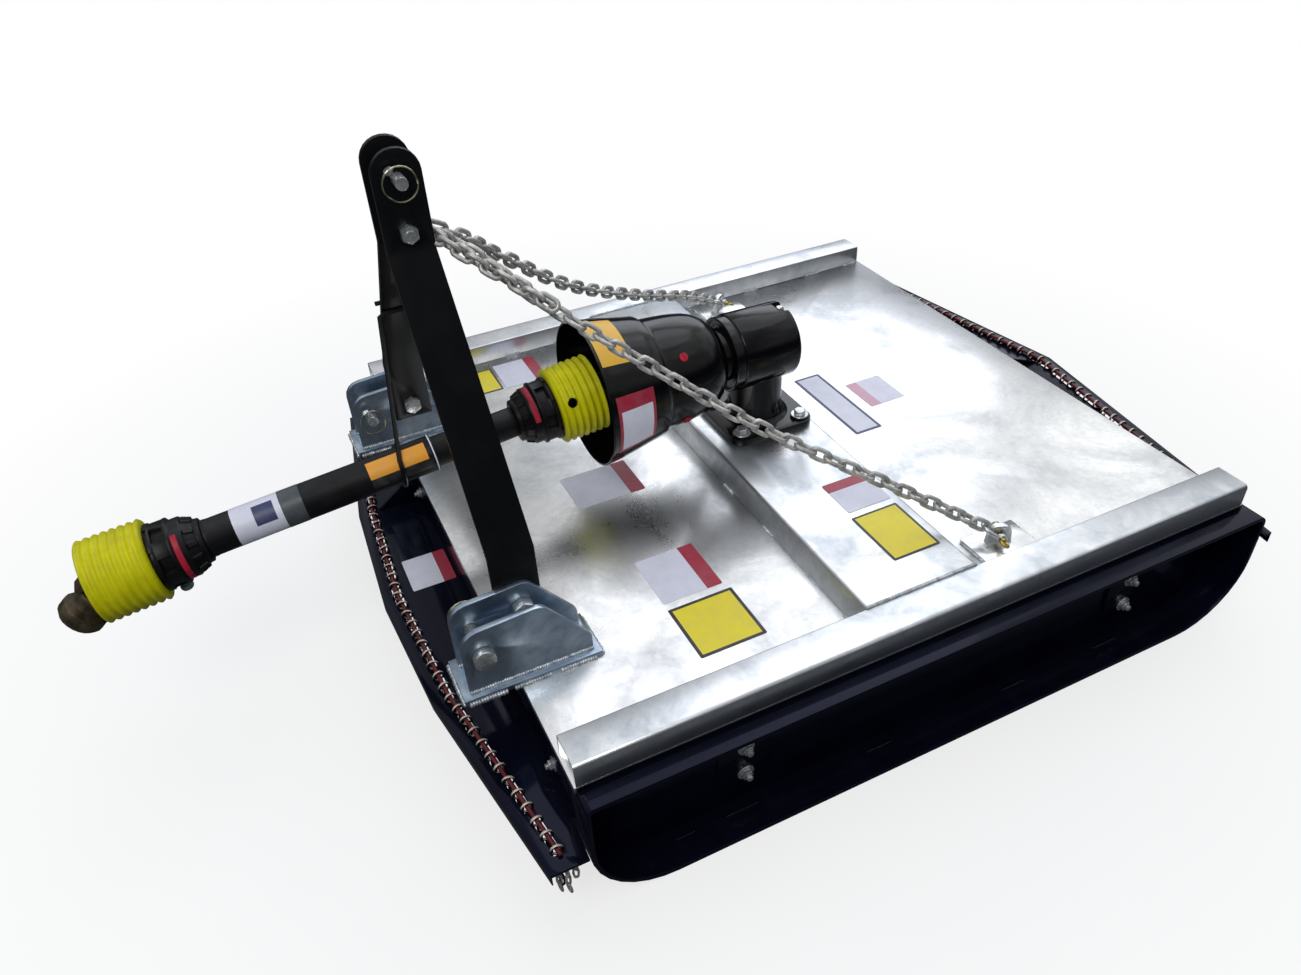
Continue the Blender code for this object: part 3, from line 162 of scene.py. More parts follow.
def makeWorld():
    world = bpy.data.worlds.new("paleStudio")
    bpy.context.scene.world = world
    world.use_nodes = True
    tree = world.node_tree
    tree.nodes.clear()
    path = addNode(tree, "LightPath").outputs
    seen = addNode(tree, "Math", {"operation": "MAXIMUM"},
                   {0: path["Is Camera Ray"], 1: path["Is Transmission Ray"]})
    soft = addNode(tree, "Background", {"Color": hexToLinear("#DDE3EA"), "Strength": 0.55})
    pale = addNode(tree, "Background", {"Color": (1, 1, 1, 1), "Strength": 1.0})
    # what gloss sees: an open sky broken by dark trees, darkest low down and on the camera's side
    place = addNode(tree, "TexCoord").outputs["Generated"]
    split = addNode(tree, "SeparateXYZ", links={0: place}).outputs
    ramp = ((0.0, "#1D2024"), (0.16, "#343A44"), (0.34, "#D9DBDD"), (0.62, "#EEF0F2"), (1.0, "#FFFFFF"))
    sky = addNode(tree, "ValToRGB", {"ramp": ramp}, {0: split["Z"]})
    trees = addNode(tree, "TexNoise", {"Scale": 2.6, "Detail": 4.0, "Roughness": 0.55, "Distortion": 0.4},
                    {"Vector": place})
    gaps = addNode(tree, "MapRange", {"From Min": 0.4, "From Max": 0.56, "To Min": 0.62, "To Max": 1.14},
                   {"Value": trees})
    side = addNode(tree, "MapRange", {"From Min": -0.6, "From Max": 0.7, "To Min": 1.0, "To Max": 0.46},
                   {"Value": split["X"]})
    behind = addNode(tree, "MapRange", {"From Min": 0.08, "From Max": 0.52, "To Min": 0.82, "To Max": 1.75},
                     {"Value": split["Y"]})
    half = addNode(tree, "Math", {"operation": "MULTIPLY"}, {0: gaps, 1: side})
    strength = addNode(tree, "Math", {"operation": "MULTIPLY"}, {0: half, 1: behind})
    room = addNode(tree, "Background", links={"Color": sky, "Strength": strength})
    glossy = addNode(tree, "MixShader", links={0: path["Is Glossy Ray"], 1: soft, 2: room})
    shown = addNode(tree, "MixShader", links={0: seen, 1: glossy, 2: pale})
    addNode(tree, "OutputWorld", links={0: shown})


def makeFloor():
    bpy.ops.mesh.primitive_plane_add(size=14.0, location=(0, 0, -0.0005))
    floor = bpy.context.object
    floor.name = "studioFloor"
    material, tree, shader, place = startMaterial("pale studio floor, matt")
    speck = addNode(tree, "TexNoise", {"Scale": 3.0, "Detail": 4.0}, {"Vector": place})
    tone = addNode(tree, "ValToRGB", {"ramp": ((0.3, "#F1F1F1"), (0.7, "#F6F6F6"))}, {0: speck})
    fillNode(tree, shader, {"Roughness": 0.9, "Specular IOR Level": 0.1}, {"Base Color": tone})
    # the camera sees a white floor with the object's shadow; gloss and soft light meet dull ground
    ground = addNode(tree, "BsdfDiffuse", {"Color": hexToLinear("#5A5C5E")})
    white = addNode(tree, "Emission", {"Color": (1, 1, 1, 1), "Strength": 1.0})
    far = addNode(tree, "VectorMath", {"operation": "LENGTH"}, {0: place}).outputs["Value"]
    fade = addNode(tree, "MapRange", {"From Min": 0.9, "From Max": 1.8, "To Min": 0.7, "To Max": 1.0}, {"Value": far})
    seen = addNode(tree, "MixShader", links={0: fade, 1: shader, 2: white})
    path = addNode(tree, "LightPath").outputs
    shown = addNode(tree, "MixShader", links={0: path["Is Camera Ray"], 1: ground, 2: seen})
    # seen from below the floor is clear, so that the underside can be looked at
    facing = addNode(tree, "NewGeometry").outputs
    clear = addNode(tree, "BsdfTransparent")
    sided = addNode(tree, "MixShader", links={0: facing["Backfacing"], 1: shown, 2: clear})
    fillNode(tree, tree.nodes["Material Output"], links={"Surface": sided})
    floor.data.materials.append(material)


makeCamera(cameraSettings)
makeLamps()
makeWorld()
makeFloor()
bpy.context.scene.view_settings.view_transform = "Standard"


# finishes

zincTable = {
    # light and dark are the coat's tones, with a painted reflection of a blue sky in the dipped plate's; flower and
    # cloud are in millimetres
    "sheet": {"name": "galvanised rolled sheet", "light": "#F4F4F3", "dark": "#B4B6B8", "flower": 8, "cloud": 210,
              "rough": (0.17, 0.4), "wave": 0.001, "scratch": 0.03},
    "rolled": {"name": "galvanised folded section", "light": "#EAECEE", "dark": "#B4BAC0", "flower": 10, "cloud": 90,
               "rough": (0.24, 0.44), "pit": 0.05, "wave": 0.0004, "scratch": 0.05},
    # the blue in the dipped plate's light and dark tones is a painted reflection of a blue sky over the zinc's grey
    "dipped": {"name": "hot-dip galvanised plate with painted sky reflection", "light": "#B5C3D2", "dark": "#7F90A3", "flower": 12, "cloud": 50,
               "rough": (0.26, 0.46), "pit": 0.1, "wave": 0.0003, "scratch": 0.04},
    "chain": {"name": "dull galvanised chain wire", "light": "#CFCECB", "dark": "#8C8B88", "flower": 4, "cloud": 18,
              "rough": (0.38, 0.6), "pit": 0.12, "metallic": 0.6},
    "bolt": {"name": "bright zinc plating", "light": "#DADCDC", "dark": "#9A9EA1", "flower": 3, "cloud": 14,
             "rough": (0.18, 0.36), "pit": 0.03, "metallic": 0.8},
    "weld": {"name": "galvanised weld bead", "light": "#D5DADD", "dark": "#8F979E", "flower": 5, "cloud": 14,
             "rough": (0.26, 0.48), "pit": 0.25, "metallic": 0.75},
    "straw": {"name": "old brass-washed spring wire", "light": "#CFC9AE", "dark": "#8F8A70", "flower": 3, "cloud": 10,
              "rough": (0.24, 0.4), "pit": 0.03},
    "gold": {"name": "yellow passivated zinc plating", "light": "#C9B25F", "dark": "#8C7A3A", "flower": 3, "cloud": 10,
             "rough": (0.2, 0.38), "pit": 0.03},
}


def makeZinc(settings):
    # zinc gives the eye a mottled grey mirror: flat crystals, each turned a little, under broad clouds
    material, tree, shader, place = startMaterial(settings["name"])
    flowers = addNode(tree, "TexVoronoi", {"Scale": 1000 / settings["flower"]}, {"Vector": place})
    clouds = addNode(tree, "TexNoise",
                     {"Scale": 1000 / settings["cloud"], "Detail": 7.0, "Roughness": 0.62, "Distortion": 0.6},
                     {"Vector": place})
    crystal = addNode(tree, "SeparateXYZ", links={0: flowers.outputs["Color"]})
    crystalShare = 0.05
    share = addNode(tree, "Math", {"operation": "MULTIPLY_ADD", 1: crystalShare}, {0: crystal, 2: clouds})
    tone = addNode(tree, "ValToRGB", {"ramp": ((0.34, settings["dark"]), (0.7, settings["light"]))}, {0: share})
    smooth, dull = settings["rough"]
    rough = addNode(tree, "MapRange", {"From Min": 0.35, "From Max": 0.75, "To Min": dull, "To Max": smooth},
                    {"Value": share})
    pits = addNode(tree, "TexNoise", {"Scale": 1000 / 2.5, "Detail": 3.0}, {"Vector": place})
    bump = addNode(tree, "Bump", {"Strength": settings.get("pit", 0.0), "Distance": 0.0004}, {"Height": pits})
    if "scratch" in settings:
        # fine drag marks in two directions, 1.6 mm wide and 90 mm long
        for turn in (0.5, -0.9):
            drawn = addNode(tree, "Mapping", {"Rotation": (0, 0, turn), "Scale": (1000 / 1.6, 1000 / 90, 1000 / 40)},
                            {"Vector": place})
            marks = addNode(tree, "TexNoise", {"Scale": 1.0, "Detail": 3.0}, {"Vector": drawn})
            bump = addNode(tree, "Bump", {"Strength": settings["scratch"], "Distance": 0.0003},
                           {"Height": marks, "Normal": bump})
    if "wave" in settings:
        waves = addNode(tree, "TexNoise", {"Scale": 1000 / 320, "Detail": 2.0}, {"Vector": place})
        bump = addNode(tree, "Bump", {"Strength": 1.0, "Distance": settings["wave"]}, {"Height": waves, "Normal": bump})
    fillNode(tree, shader, {"Metallic": settings.get("metallic", 1.0)},
             {"Base Color": tone, "Roughness": rough, "Normal": bump})
    return material


paintTable = {
    # peel is the grain of the paint's surface in millimetres
    # the enamel's sheen colour tints its reflections and clear coat blue: a painted reflection of a blue sky
    "enamel": {"name": "gloss navy-black enamel", "colour": "#060814", "worn": "#0B0F1E", "dust": "#4A4B55",
               "rough": 0.18, "peel": 6, "peelDepth": 0.05, "coat": 0.2, "dusty": 0.03,
               "gloss": 0.2, "skyReflectionTint": "#3F52B0"},
    "satin": {"name": "satin black powder coat", "colour": "#0A0B0D", "worn": "#121315", "dust": "#3A3A38",
              "rough": 0.34, "peel": 2.2, "peelDepth": 0.08, "coat": 0.06, "dusty": 0.02, "gloss": 0.2},
    "casting": {"name": "gloss black paint on cast iron", "colour": "#07070A", "worn": "#101012", "dust": "#45423D",
                "rough": 0.16, "peel": 3.5, "peelDepth": 0.2, "coat": 0.2, "dusty": 0.04, "gloss": 0.2},
    "bowl": {"name": "gloss black moulded ABS", "colour": "#060607", "worn": "#0C0C0E", "dust": "#3C3A38",
             "rough": 0.12, "peel": 9, "peelDepth": 0.02, "coat": 0.15, "dusty": 0.02, "gloss": 0.2},
    "rodRed": {"name": "dark red painted rod", "colour": "#5E1620", "worn": "#2E0D12", "dust": "#5A3A38",
               "rough": 0.35, "peel": 2, "peelDepth": 0.1, "coat": 0.2, "dusty": 0.1},
}


def makePaint(settings):
    # paint gives the eye one deep colour, a soft skin, and dust where it lies flat
    material, tree, shader, place = startMaterial(settings["name"])
    wear = addNode(tree, "TexNoise", {"Scale": 1000 / 90, "Detail": 6.0, "Roughness": 0.65}, {"Vector": place})
    body = addNode(tree, "ValToRGB", {"ramp": ((0.45, settings["colour"]), (0.8, settings["worn"]))}, {0: wear})
    motes = addNode(tree, "TexNoise", {"Scale": 1000 / 5, "Detail": 4.0, "Roughness": 0.7}, {"Vector": place})
    facing = addNode(tree, "NewGeometry").outputs["Normal"]
    upward = addNode(tree, "SeparateXYZ", links={0: facing}).outputs["Z"]
    flat = addNode(tree, "MapRange", {"From Min": 0.55, "From Max": 1.0, "To Min": 0.0, "To Max": settings["dusty"]},
                   {"Value": upward})
    share = addNode(tree, "Math", {"operation": "MULTIPLY"}, {0: flat, 1: motes})
    tone = addNode(tree, "Mix", {"data_type": "RGBA", 7: hexToLinear(settings["dust"])}, {0: share, 6: body})
    rough = addNode(tree, "MapRange", {"To Min": settings["rough"] - 0.06, "To Max": settings["rough"] + 0.12},
                    {"Value": wear})
    skin = addNode(tree, "TexNoise", {"Scale": 1000 / settings["peel"], "Detail": 2.0}, {"Vector": place})
    bump = addNode(tree, "Bump", {"Strength": settings["peelDepth"], "Distance": 0.0006}, {"Height": skin})
    # a blue tint here on the reflections and clear coat is a painted reflection of a blue sky; white leaves them
    # untinted
    skyReflectionTint = hexToLinear(settings.get("skyReflectionTint", "#FFFFFF"))
    fillNode(tree, shader, {"Specular IOR Level": settings.get("gloss", 0.32), "Specular Tint": skyReflectionTint,
                            "Coat Tint": skyReflectionTint, "Coat Weight": settings["coat"], "Coat Roughness": 0.08},
             {"Base Color": tone.outputs[2], "Roughness": rough, "Normal": bump})
    return material


plasticTable = {
    "yellow": {"name": "yellow-green moulded polyethylene", "colour": "#CFCB0C", "shade": "#BDB908", "rough": 0.34,
               "grain": 1.6, "grainDepth": 0.04},
    "black": {"name": "black moulded polyamide", "colour": "#0B0B0D", "shade": "#141416", "rough": 0.36,
              "grain": 1.2, "grainDepth": 0.12},
    "tube": {"name": "black extruded polyethylene tube", "colour": "#0E0E10", "shade": "#17171A", "rough": 0.42,
             "grain": 1.5, "grainDepth": 0.1},
    "red": {"name": "crimson moulded polyamide", "colour": "#B3243A", "shade": "#7D1729", "rough": 0.38,
            "grain": 1.2, "grainDepth": 0.08},
    "grey": {"name": "grey moulded polyamide", "colour": "#6E7A80", "shade": "#4C565B", "rough": 0.4,
             "grain": 1.2, "grainDepth": 0.08},
}


def makePlastic(settings):
    # moulded plastic gives the eye a waxy tone that pales and darkens softly, over a fine grain
    material, tree, shader, place = startMaterial(settings["name"])
    clouds = addNode(tree, "TexNoise", {"Scale": 1000 / 35, "Detail": 5.0, "Roughness": 0.6}, {"Vector": place})
    tone = addNode(tree, "ValToRGB", {"ramp": ((0.35, settings["shade"]), (0.6, settings["colour"]))}, {0: clouds})
    rough = addNode(tree, "MapRange", {"To Min": settings["rough"] - 0.08, "To Max": settings["rough"] + 0.12},
                    {"Value": clouds})
    grain = addNode(tree, "TexNoise", {"Scale": 1000 / settings["grain"], "Detail": 2.0}, {"Vector": place})
    bump = addNode(tree, "Bump", {"Strength": settings["grainDepth"], "Distance": 0.0005}, {"Height": grain})
    fillNode(tree, shader, {"Specular IOR Level": 0.22}, {"Base Color": tone, "Roughness": rough, "Normal": bump})
    return material


steelTable = {
    "oiled": {"name": "dark oiled forged steel", "colour": "#665A43", "shade": "#3A3224", "metal": 0.55,
              "rough": 0.44, "scale": 3.0, "depth": 0.35},
    "link": {"name": "black oxide chain wire", "colour": "#2A2522", "shade": "#110E0D", "metal": 0.7,
             "rough": 0.4, "scale": 2.0, "depth": 0.15},
    # the rim wire takes its pale top colour on every face that points up
    "rim": {"name": "chain wire worn bright on top", "colour": "#2A2522", "shade": "#110E0D", "metal": 0.3,
            "rough": 0.4, "scale": 2.0, "depth": 0.15, "top": "#C9BFB4"},
    "blade": {"name": "spring steel with mill scale", "colour": "#4A4A4C", "shade": "#23211F", "metal": 0.85,
              "rough": 0.4, "scale": 5.0, "depth": 0.12},
}


def makeSteel(settings):
    # forged steel gives the eye a dark broken skin with a dull sheen
    material, tree, shader, place = startMaterial(settings["name"])
    skin = addNode(tree, "TexNoise", {"Scale": 1000 / 24, "Detail": 8.0, "Roughness": 0.7}, {"Vector": place})
    tone = addNode(tree, "ValToRGB", {"ramp": ((0.38, settings["shade"]), (0.66, settings["colour"]))}, {0: skin})
    if "top" in settings:
        # paler where it faces up, chosen by the facing alone
        facing = addNode(tree, "NewGeometry").outputs["Normal"]
        upward = addNode(tree, "SeparateXYZ", links={0: facing}).outputs["Z"]
        share = addNode(tree, "MapRange", {"From Min": 0.15, "From Max": 0.75}, {"Value": upward})
        worn = addNode(tree, "Mix", {"data_type": "RGBA", 7: hexToLinear(settings["top"])}, {0: share, 6: tone})
        tone = worn.outputs[2]
    rough = addNode(tree, "MapRange", {"To Min": settings["rough"] - 0.1, "To Max": settings["rough"] + 0.15},
                    {"Value": skin})
    pits = addNode(tree, "TexNoise", {"Scale": 1000 / settings["scale"], "Detail": 4.0}, {"Vector": place})
    bump = addNode(tree, "Bump", {"Strength": settings["depth"], "Distance": 0.0005}, {"Height": pits})
    fillNode(tree, shader, {"Metallic": settings["metal"]}, {"Base Color": tone, "Roughness": rough, "Normal": bump})
    return material


zinc = {key: makeZinc(settings) for key, settings in zincTable.items()}
paint = {key: makePaint(settings) for key, settings in paintTable.items()}
plastic = {key: makePlastic(settings) for key, settings in plasticTable.items()}
steel = {key: makeSteel(settings) for key, settings in steelTable.items()}

labelColours = {
    "lilac": "#DADBEA", "crimson": "#A01E3A", "yellow": "#E6D41F", "amber": "#E6B01F", "ink": "#121114",
    "navy": "#2C3560", "rose": "#CFA0B2", "orange": "#EDA01C", "tape": "#3E444A",
}


def makeLabelFilm(name, colour):
    # printed vinyl gives the eye a flat even tone, a little rubbed, with a thin plastic gloss
    material, tree, shader, place = startMaterial("printed vinyl film, " + name)
    rub = addNode(tree, "TexNoise", {"Scale": 1000 / 28, "Detail": 6.0, "Roughness": 0.7}, {"Vector": place})
    full = hexToLinear(colour)
    pale = tuple(c * 0.82 + 0.05 for c in full[:3]) + (1.0,)
    tone = addNode(tree, "ValToRGB", {"ramp": ((0.4, full), (0.75, pale))}, {0: rub})
    rough = addNode(tree, "MapRange", {"To Min": 0.28, "To Max": 0.5}, {"Value": rub})
    ripple = addNode(tree, "TexNoise", {"Scale": 1000 / 14, "Detail": 1.0}, {"Vector": place})
    bump = addNode(tree, "Bump", {"Strength": 0.2, "Distance": 0.0003}, {"Height": ripple})
    fillNode(tree, shader, links={"Base Color": tone, "Roughness": rough, "Normal": bump})
    return material


label = {name: makeLabelFilm(name, colour) for name, colour in labelColours.items()}


# helpers for the pieces

def deselectAll():
    if bpy.context.object and bpy.context.object.mode != "OBJECT":
        bpy.ops.object.mode_set(mode="OBJECT")
    for item in bpy.context.selected_objects:
        item.select_set(False)


def pick(piece):
    deselectAll()
    piece.select_set(True)
    bpy.context.view_layer.objects.active = piece


def openUp(piece, kind="VERT"):
    # edit mode with nothing selected
    pick(piece)
    bpy.ops.object.mode_set(mode="EDIT")
    bpy.ops.mesh.select_mode(type=kind)
    bpy.ops.mesh.select_all(action="DESELECT")


def closeUp():
    bpy.ops.object.mode_set(mode="OBJECT")


def chooseVerts(piece, test):
    form = bmesh.from_edit_mesh(piece.data)
    for vert in form.verts:
        vert.select_set(bool(test(vert.co)))
    form.select_flush_mode()
    bmesh.update_edit_mesh(piece.data)


def chooseFaces(piece, test):
    form = bmesh.from_edit_mesh(piece.data)
    for face in form.faces:
        face.select_set(bool(test(face.calc_center_median(), face.normal)))
    bmesh.update_edit_mesh(piece.data)


def chooseEdges(piece, test):
    form = bmesh.from_edit_mesh(piece.data)
    for edge in form.edges:
        edge.select_set(bool(test(edge)))
    bmesh.update_edit_mesh(piece.data)


def chooseAll():
    bpy.ops.mesh.select_all(action="SELECT")


def faceOut():
    chooseAll()
    bpy.ops.mesh.normals_make_consistent(inside=False)


def addModifier(piece, kind, **settings):
    modifier = piece.modifiers.new(kind.lower(), kind)
    for key, value in settings.items():
        setattr(modifier, key, value)


def applyModifiers(piece):
    pick(piece)
    for modifier in list(piece.modifiers):
        bpy.ops.object.modifier_apply(modifier=modifier.name)


def smoothEdges(piece, degrees=35):
    pick(piece)
    bpy.ops.object.shade_smooth_by_angle(angle=math.radians(degrees))


def bevelEdges(piece, width, segments=2, degrees=35):
    addModifier(piece, "BEVEL", width=width, segments=segments, limit_method="ANGLE", angle_limit=math.radians(degrees))
    applyModifiers(piece)


def settle(piece, matrix):
    piece.data.transform(matrix)
    piece.data.update()
    return piece


def freshPiece(name):
    # what an operator has just made, with its place and turn put into its mesh
    piece = bpy.context.object
    piece.name = name
    bpy.ops.object.transform_apply(location=True, rotation=True, scale=True)
    return piece


def copyOf(pattern, matrix=None):
    copy = bpy.data.objects.new(pattern.name, pattern.data.copy())
    bpy.context.scene.collection.objects.link(copy)
    return settle(copy, matrix) if matrix else copy


def discard(*pieces):
    for piece in pieces:
        bpy.data.objects.remove(piece)


def joinAll(pieces, name):
    deselectAll()
    for piece in pieces:
        piece.select_set(True)
    bpy.context.view_layer.objects.active = pieces[0]
    bpy.ops.object.join()
    pieces[0].name = name
    return pieces[0]


def carve(piece, tool):
    # takes a tool's shape out of a piece
    addModifier(piece, "BOOLEAN", operation="DIFFERENCE", object=tool, solver="EXACT")
    applyModifiers(piece)
    discard(tool)


def turnRings(name, rings, sides=64, closed=False):
    # a circle drawn out ring by ring along Z, as on a lathe: (radius, height) pairs
    deselectAll()
    radius, height = rings[0]
    bpy.ops.mesh.primitive_circle_add(vertices=sides, radius=radius, location=(0, 0, height))
    piece = freshPiece(name)
    openUp(piece, "EDGE")
    chooseAll()
    for nextRadius, nextHeight in rings[1:] + ([rings[0]] if closed else []):
        bpy.ops.mesh.extrude_region_move(TRANSFORM_OT_translate={"value": (0, 0, nextHeight - height)})
        share = nextRadius / radius
        bpy.ops.transform.resize(value=(share, share, 1), center_override=(0, 0, nextHeight))
        radius, height = nextRadius, nextHeight
    chooseAll()
    if closed:
        bpy.ops.mesh.remove_doubles(threshold=0.00002)
    else:
        bpy.ops.mesh.fill_holes(sides=0)
    faceOut()
    closeUp()
    return piece


def makeTorus(name, radius, wire, around, section, rotation=(0, 0, 0), location=(0, 0, 0)):
    deselectAll()
    bpy.ops.mesh.primitive_torus_add(major_radius=radius, minor_radius=wire, major_segments=around,
                                     minor_segments=section, rotation=rotation, location=location)
    return freshPiece(name)


def brick(name, low, high):
    deselectAll()
    bpy.ops.mesh.primitive_cube_add(size=1, location=[(a + b) / 2 for a, b in zip(low, high)])
    bpy.context.object.scale = [b - a for a, b in zip(low, high)]
    return freshPiece(name)


def outwardAt(degrees):
    return Vector((math.cos(math.radians(degrees)), math.sin(math.radians(degrees)), 0))


def frameAt(place, outward, roll=0.0):
    # a frame whose Z points outward from a place
    turn = Vector(outward).to_track_quat("Z", "Y").to_matrix().to_4x4()
    return shift(place) @ turn @ turned(roll, "Z")


def handOver(piece, name, body, materials, replaced=()):
    # the finished piece: named, coloured, on its body and standing for its CAD nodes, which are hidden
    piece.name = name
    piece.data.name = name
    if materials:
        piece.data.materials.clear()
    for material in materials:
        piece.data.materials.append(material)
    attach(piece, body)
    if replaced:
        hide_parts(*replaced)
    return piece


def tint(piece, material):
    # one finish for a part of a piece, before it is joined to the rest
    piece.data.materials.clear()
    piece.data.materials.append(material)
    return piece


def refineNode(node, material, width):
    # a merged copy of the CAD node with its edges broken, as a press, torch or mould leaves them
    piece = bpy.data.objects.new(node, frame["nodes"][node].data.copy())
    bpy.context.scene.collection.objects.link(piece)
    pick(piece)
    bpy.ops.mesh.customdata_custom_splitnormals_clear()
    bpy.ops.object.mode_set(mode="EDIT")
    chooseAll()
    bpy.ops.mesh.remove_doubles(threshold=0.00001)
    bpy.ops.mesh.dissolve_limited(angle_limit=math.radians(0.6))
    closeUp()
    if width > 0:
        bevelEdges(piece, width, 2, 40)
    smoothEdges(piece, 38)
    handOver(piece, node + "_dressed", bodyOf[node], [material], [node])


refineTable = (
    # node, finish, edge radius in metres; a name that ends in _ stands for a left and a right one
    ("deck_sheet", zinc["sheet"], 0.001),
    ("side_rail_", zinc["rolled"], 0.0008),
    ("gearbox_channel", zinc["rolled"], 0.001),
    ("hitch_bracket_", zinc["dipped"], 0.001),
    ("lower_pin_", zinc["bolt"], 0.001),
    ("top_link_pin", zinc["bolt"], 0.001),
    ("mast_tie_bolt", zinc["bolt"], 0.0008),
    ("mast_foot_bolt_", zinc["bolt"], 0.0008),
    ("chain_lug_", zinc["sheet"], 0.001),
    ("front_panel", paint["enamel"], 0.001),
    ("rear_panel", paint["enamel"], 0.001),
    ("skid_", paint["enamel"], 0.001),
    ("side_skirt_", paint["enamel"], 0.0008),
    ("front_guard", paint["enamel"], 0.0006),
    ("rear_guard", paint["enamel"], 0.0006),
    ("mast_bar_", paint["satin"], 0.0012),
    ("shaft_hook", paint["satin"], 0.0),
    ("rotor", paint["enamel"], 0.001),
    ("blade_a", steel["blade"], 0.001),
    ("blade_b", steel["blade"], 0.001),
    ("input_yoke", steel["oiled"], 0.0012),
    ("rear_shaft_yoke", steel["oiled"], 0.0012),
    ("front_shaft_yoke", steel["oiled"], 0.0012),
    ("tractor_yoke", steel["oiled"], 0.0018),
)

for node, finish, width in refineTable:
    for side in ("left", "right") if node.endswith("_") else ("",):
        refineNode(node + side, finish, width)


# gearbox

gearbox = {
    "place": (0, rotorAt, axisHigh),  # where the drum's and the rotor's axes cross
    # radius and distance behind the rotor's axis, neck first
    "drum": [(0.002, -0.09), (0.05, -0.09), (0.05, -0.07), (0.064, -0.07), (0.0648, -0.0745),
             (0.0665, -0.076), (0.0695, -0.076), (0.0706, -0.0748), (0.0708, -0.06), (0.0692, -0.059),
             (0.0692, -0.0576), (0.0712, -0.0568), (0.0724, -0.055), (0.0708, 0.049), (0.0702, 0.054),
             (0.0684, 0.0578), (0.065, 0.0605), (0.0595, 0.0619), (0.05, 0.0622), (0.03, 0.0622), (0.029, 0.0612),
             (0.002, 0.0612)],
    # radius and height over the deck
    "column": [(0.066, 0.057), (0.064, 0.0595), (0.0575, 0.0625), (0.054, 0.069), (0.0525, 0.078),
               (0.052, 0.09), (0.052, 0.15), (0.054, 0.185)],
    "footHalf": 0.086, "footLow": 0.0443, "footHigh": 0.0583, "footRound": 0.024,
    "boltAt": 0.064, "boss": [(0.0195, 0.0543), (0.0185, 0.0583), (0.0175, 0.0618)],
    "notch": ((-0.014, 0.037, 0.053), (0.02, 0.08, 0.085)),
}


def makeGearbox(settings):
    cross = onDeck(*settings["place"])
    middle = settings["place"][1]
    drum = turnRings("drum", settings["drum"], 72)
    settle(drum, shift(cross) @ turned(-math.pi / 2, "X"))
    carve(drum, brick("notchTool", *[tuple(cross + Vector(corner)) for corner in settings["notch"]]))
    column = turnRings("column", settings["column"], 48)
    settle(column, shift(onDeck(0, middle, 0)))
    half = settings["footHalf"]
    foot = brick("foot", tuple(onDeck(-half, middle - half, settings["footLow"])),
                 tuple(onDeck(half, middle + half, settings["footHigh"])))
    openUp(foot, "EDGE")
    chooseEdges(foot, lambda edge: abs(edge.verts[0].co.z - edge.verts[1].co.z) > 0.005)
    bpy.ops.mesh.bevel(offset=settings["footRound"], segments=8)
    closeUp()
    bosses = []
    for x in (-1, 1):
        for y in (-1, 1):
            boss = turnRings("boss", settings["boss"], 32)
            spot = onDeck(x * settings["boltAt"], middle + y * settings["boltAt"], 0)
            bosses.append(settle(boss, shift(spot)))
    casting = joinAll([drum, column, foot, *bosses], "gearboxCasting")
    bevelEdges(casting, 0.001, 2, 50)
    smoothEdges(casting, 40)
    handOver(casting, "gearboxCasting", "frame", [paint["casting"]], ["gearbox"])


makeGearbox(gearbox)


# bowl shield round the input

bowl = {
    "back": 0.5475,
    # radius and distance ahead of its back: outside, rim, inside
    "rings": [(0.052, 0.0), (0.06, 0.0022), (0.068, 0.008), (0.0755, 0.015), (0.0825, 0.024), (0.0885, 0.0345),
              (0.0935, 0.048), (0.0965, 0.064), (0.099, 0.082), (0.101, 0.105), (0.1022, 0.129), (0.1024, 0.134),
              (0.1032, 0.1375), (0.106, 0.14), (0.11, 0.1415), (0.1116, 0.144), (0.114, 0.16), (0.119, 0.185),
              (0.1245, 0.212), (0.129, 0.24), (0.1308, 0.255), (0.1318, 0.2575), (0.1316, 0.2595), (0.13, 0.2605),
              (0.128, 0.2598), (0.1262, 0.24), (0.1215, 0.212), (0.116, 0.185), (0.1108, 0.16), (0.1086, 0.145),
              (0.1, 0.139), (0.0994, 0.129), (0.098, 0.105), (0.096, 0.082), (0.0935, 0.066), (0.0905, 0.051),
              (0.0858, 0.038), (0.08, 0.028), (0.073, 0.019), (0.065, 0.011), (0.058, 0.0058), (0.052, 0.0032)],
    "plugAngles": (41, 139, 215, 325), "plugAhead": 0.1, "plugAt": 0.1005,
    "plug": [(0.0078, -0.002), (0.0078, 0.0028), (0.0072, 0.0038), (0.0062, 0.0042), (0.001, 0.0042)],
    "plugSlot": ((-0.02, -0.0011, 0.0026), (0.02, 0.0011, 0.0082)),
}


def bowlFrame():
    # Z points to the tractor, X to the left side, Y up
    return shift(onDeck(0, bowl["back"], axisHigh)) @ turned(math.pi / 2, "X")


def makeBowl(settings):
    shell = turnRings("inputBowl", settings["rings"], 96, closed=True)
    settle(shell, bowlFrame())
    smoothEdges(shell, 40)
    handOver(shell, "inputBowl", "frame", [paint["bowl"]], ["input_shield"])
    pattern = turnRings("plug", settings["plug"], 24)
    carve(pattern, brick("slotTool", *settings["plugSlot"]))
    plugs = []
    for angle in settings["plugAngles"]:
        outward = outwardAt(angle)
        spot = outward * settings["plugAt"] + Vector((0, 0, settings["plugAhead"]))
        plugs.append(copyOf(pattern, bowlFrame() @ frameAt(spot, outward, 0.2)))
    discard(pattern)
    joined = joinAll(plugs, "bowlPlugs")
    smoothEdges(joined, 30)
    handOver(joined, "bowlPlugs", "frame", [plastic["red"]])


makeBowl(bowl)


# drive shaft guard: cones, collars and tubes

shaftSlope = math.radians(5.5)
rearJointAt = 0.29


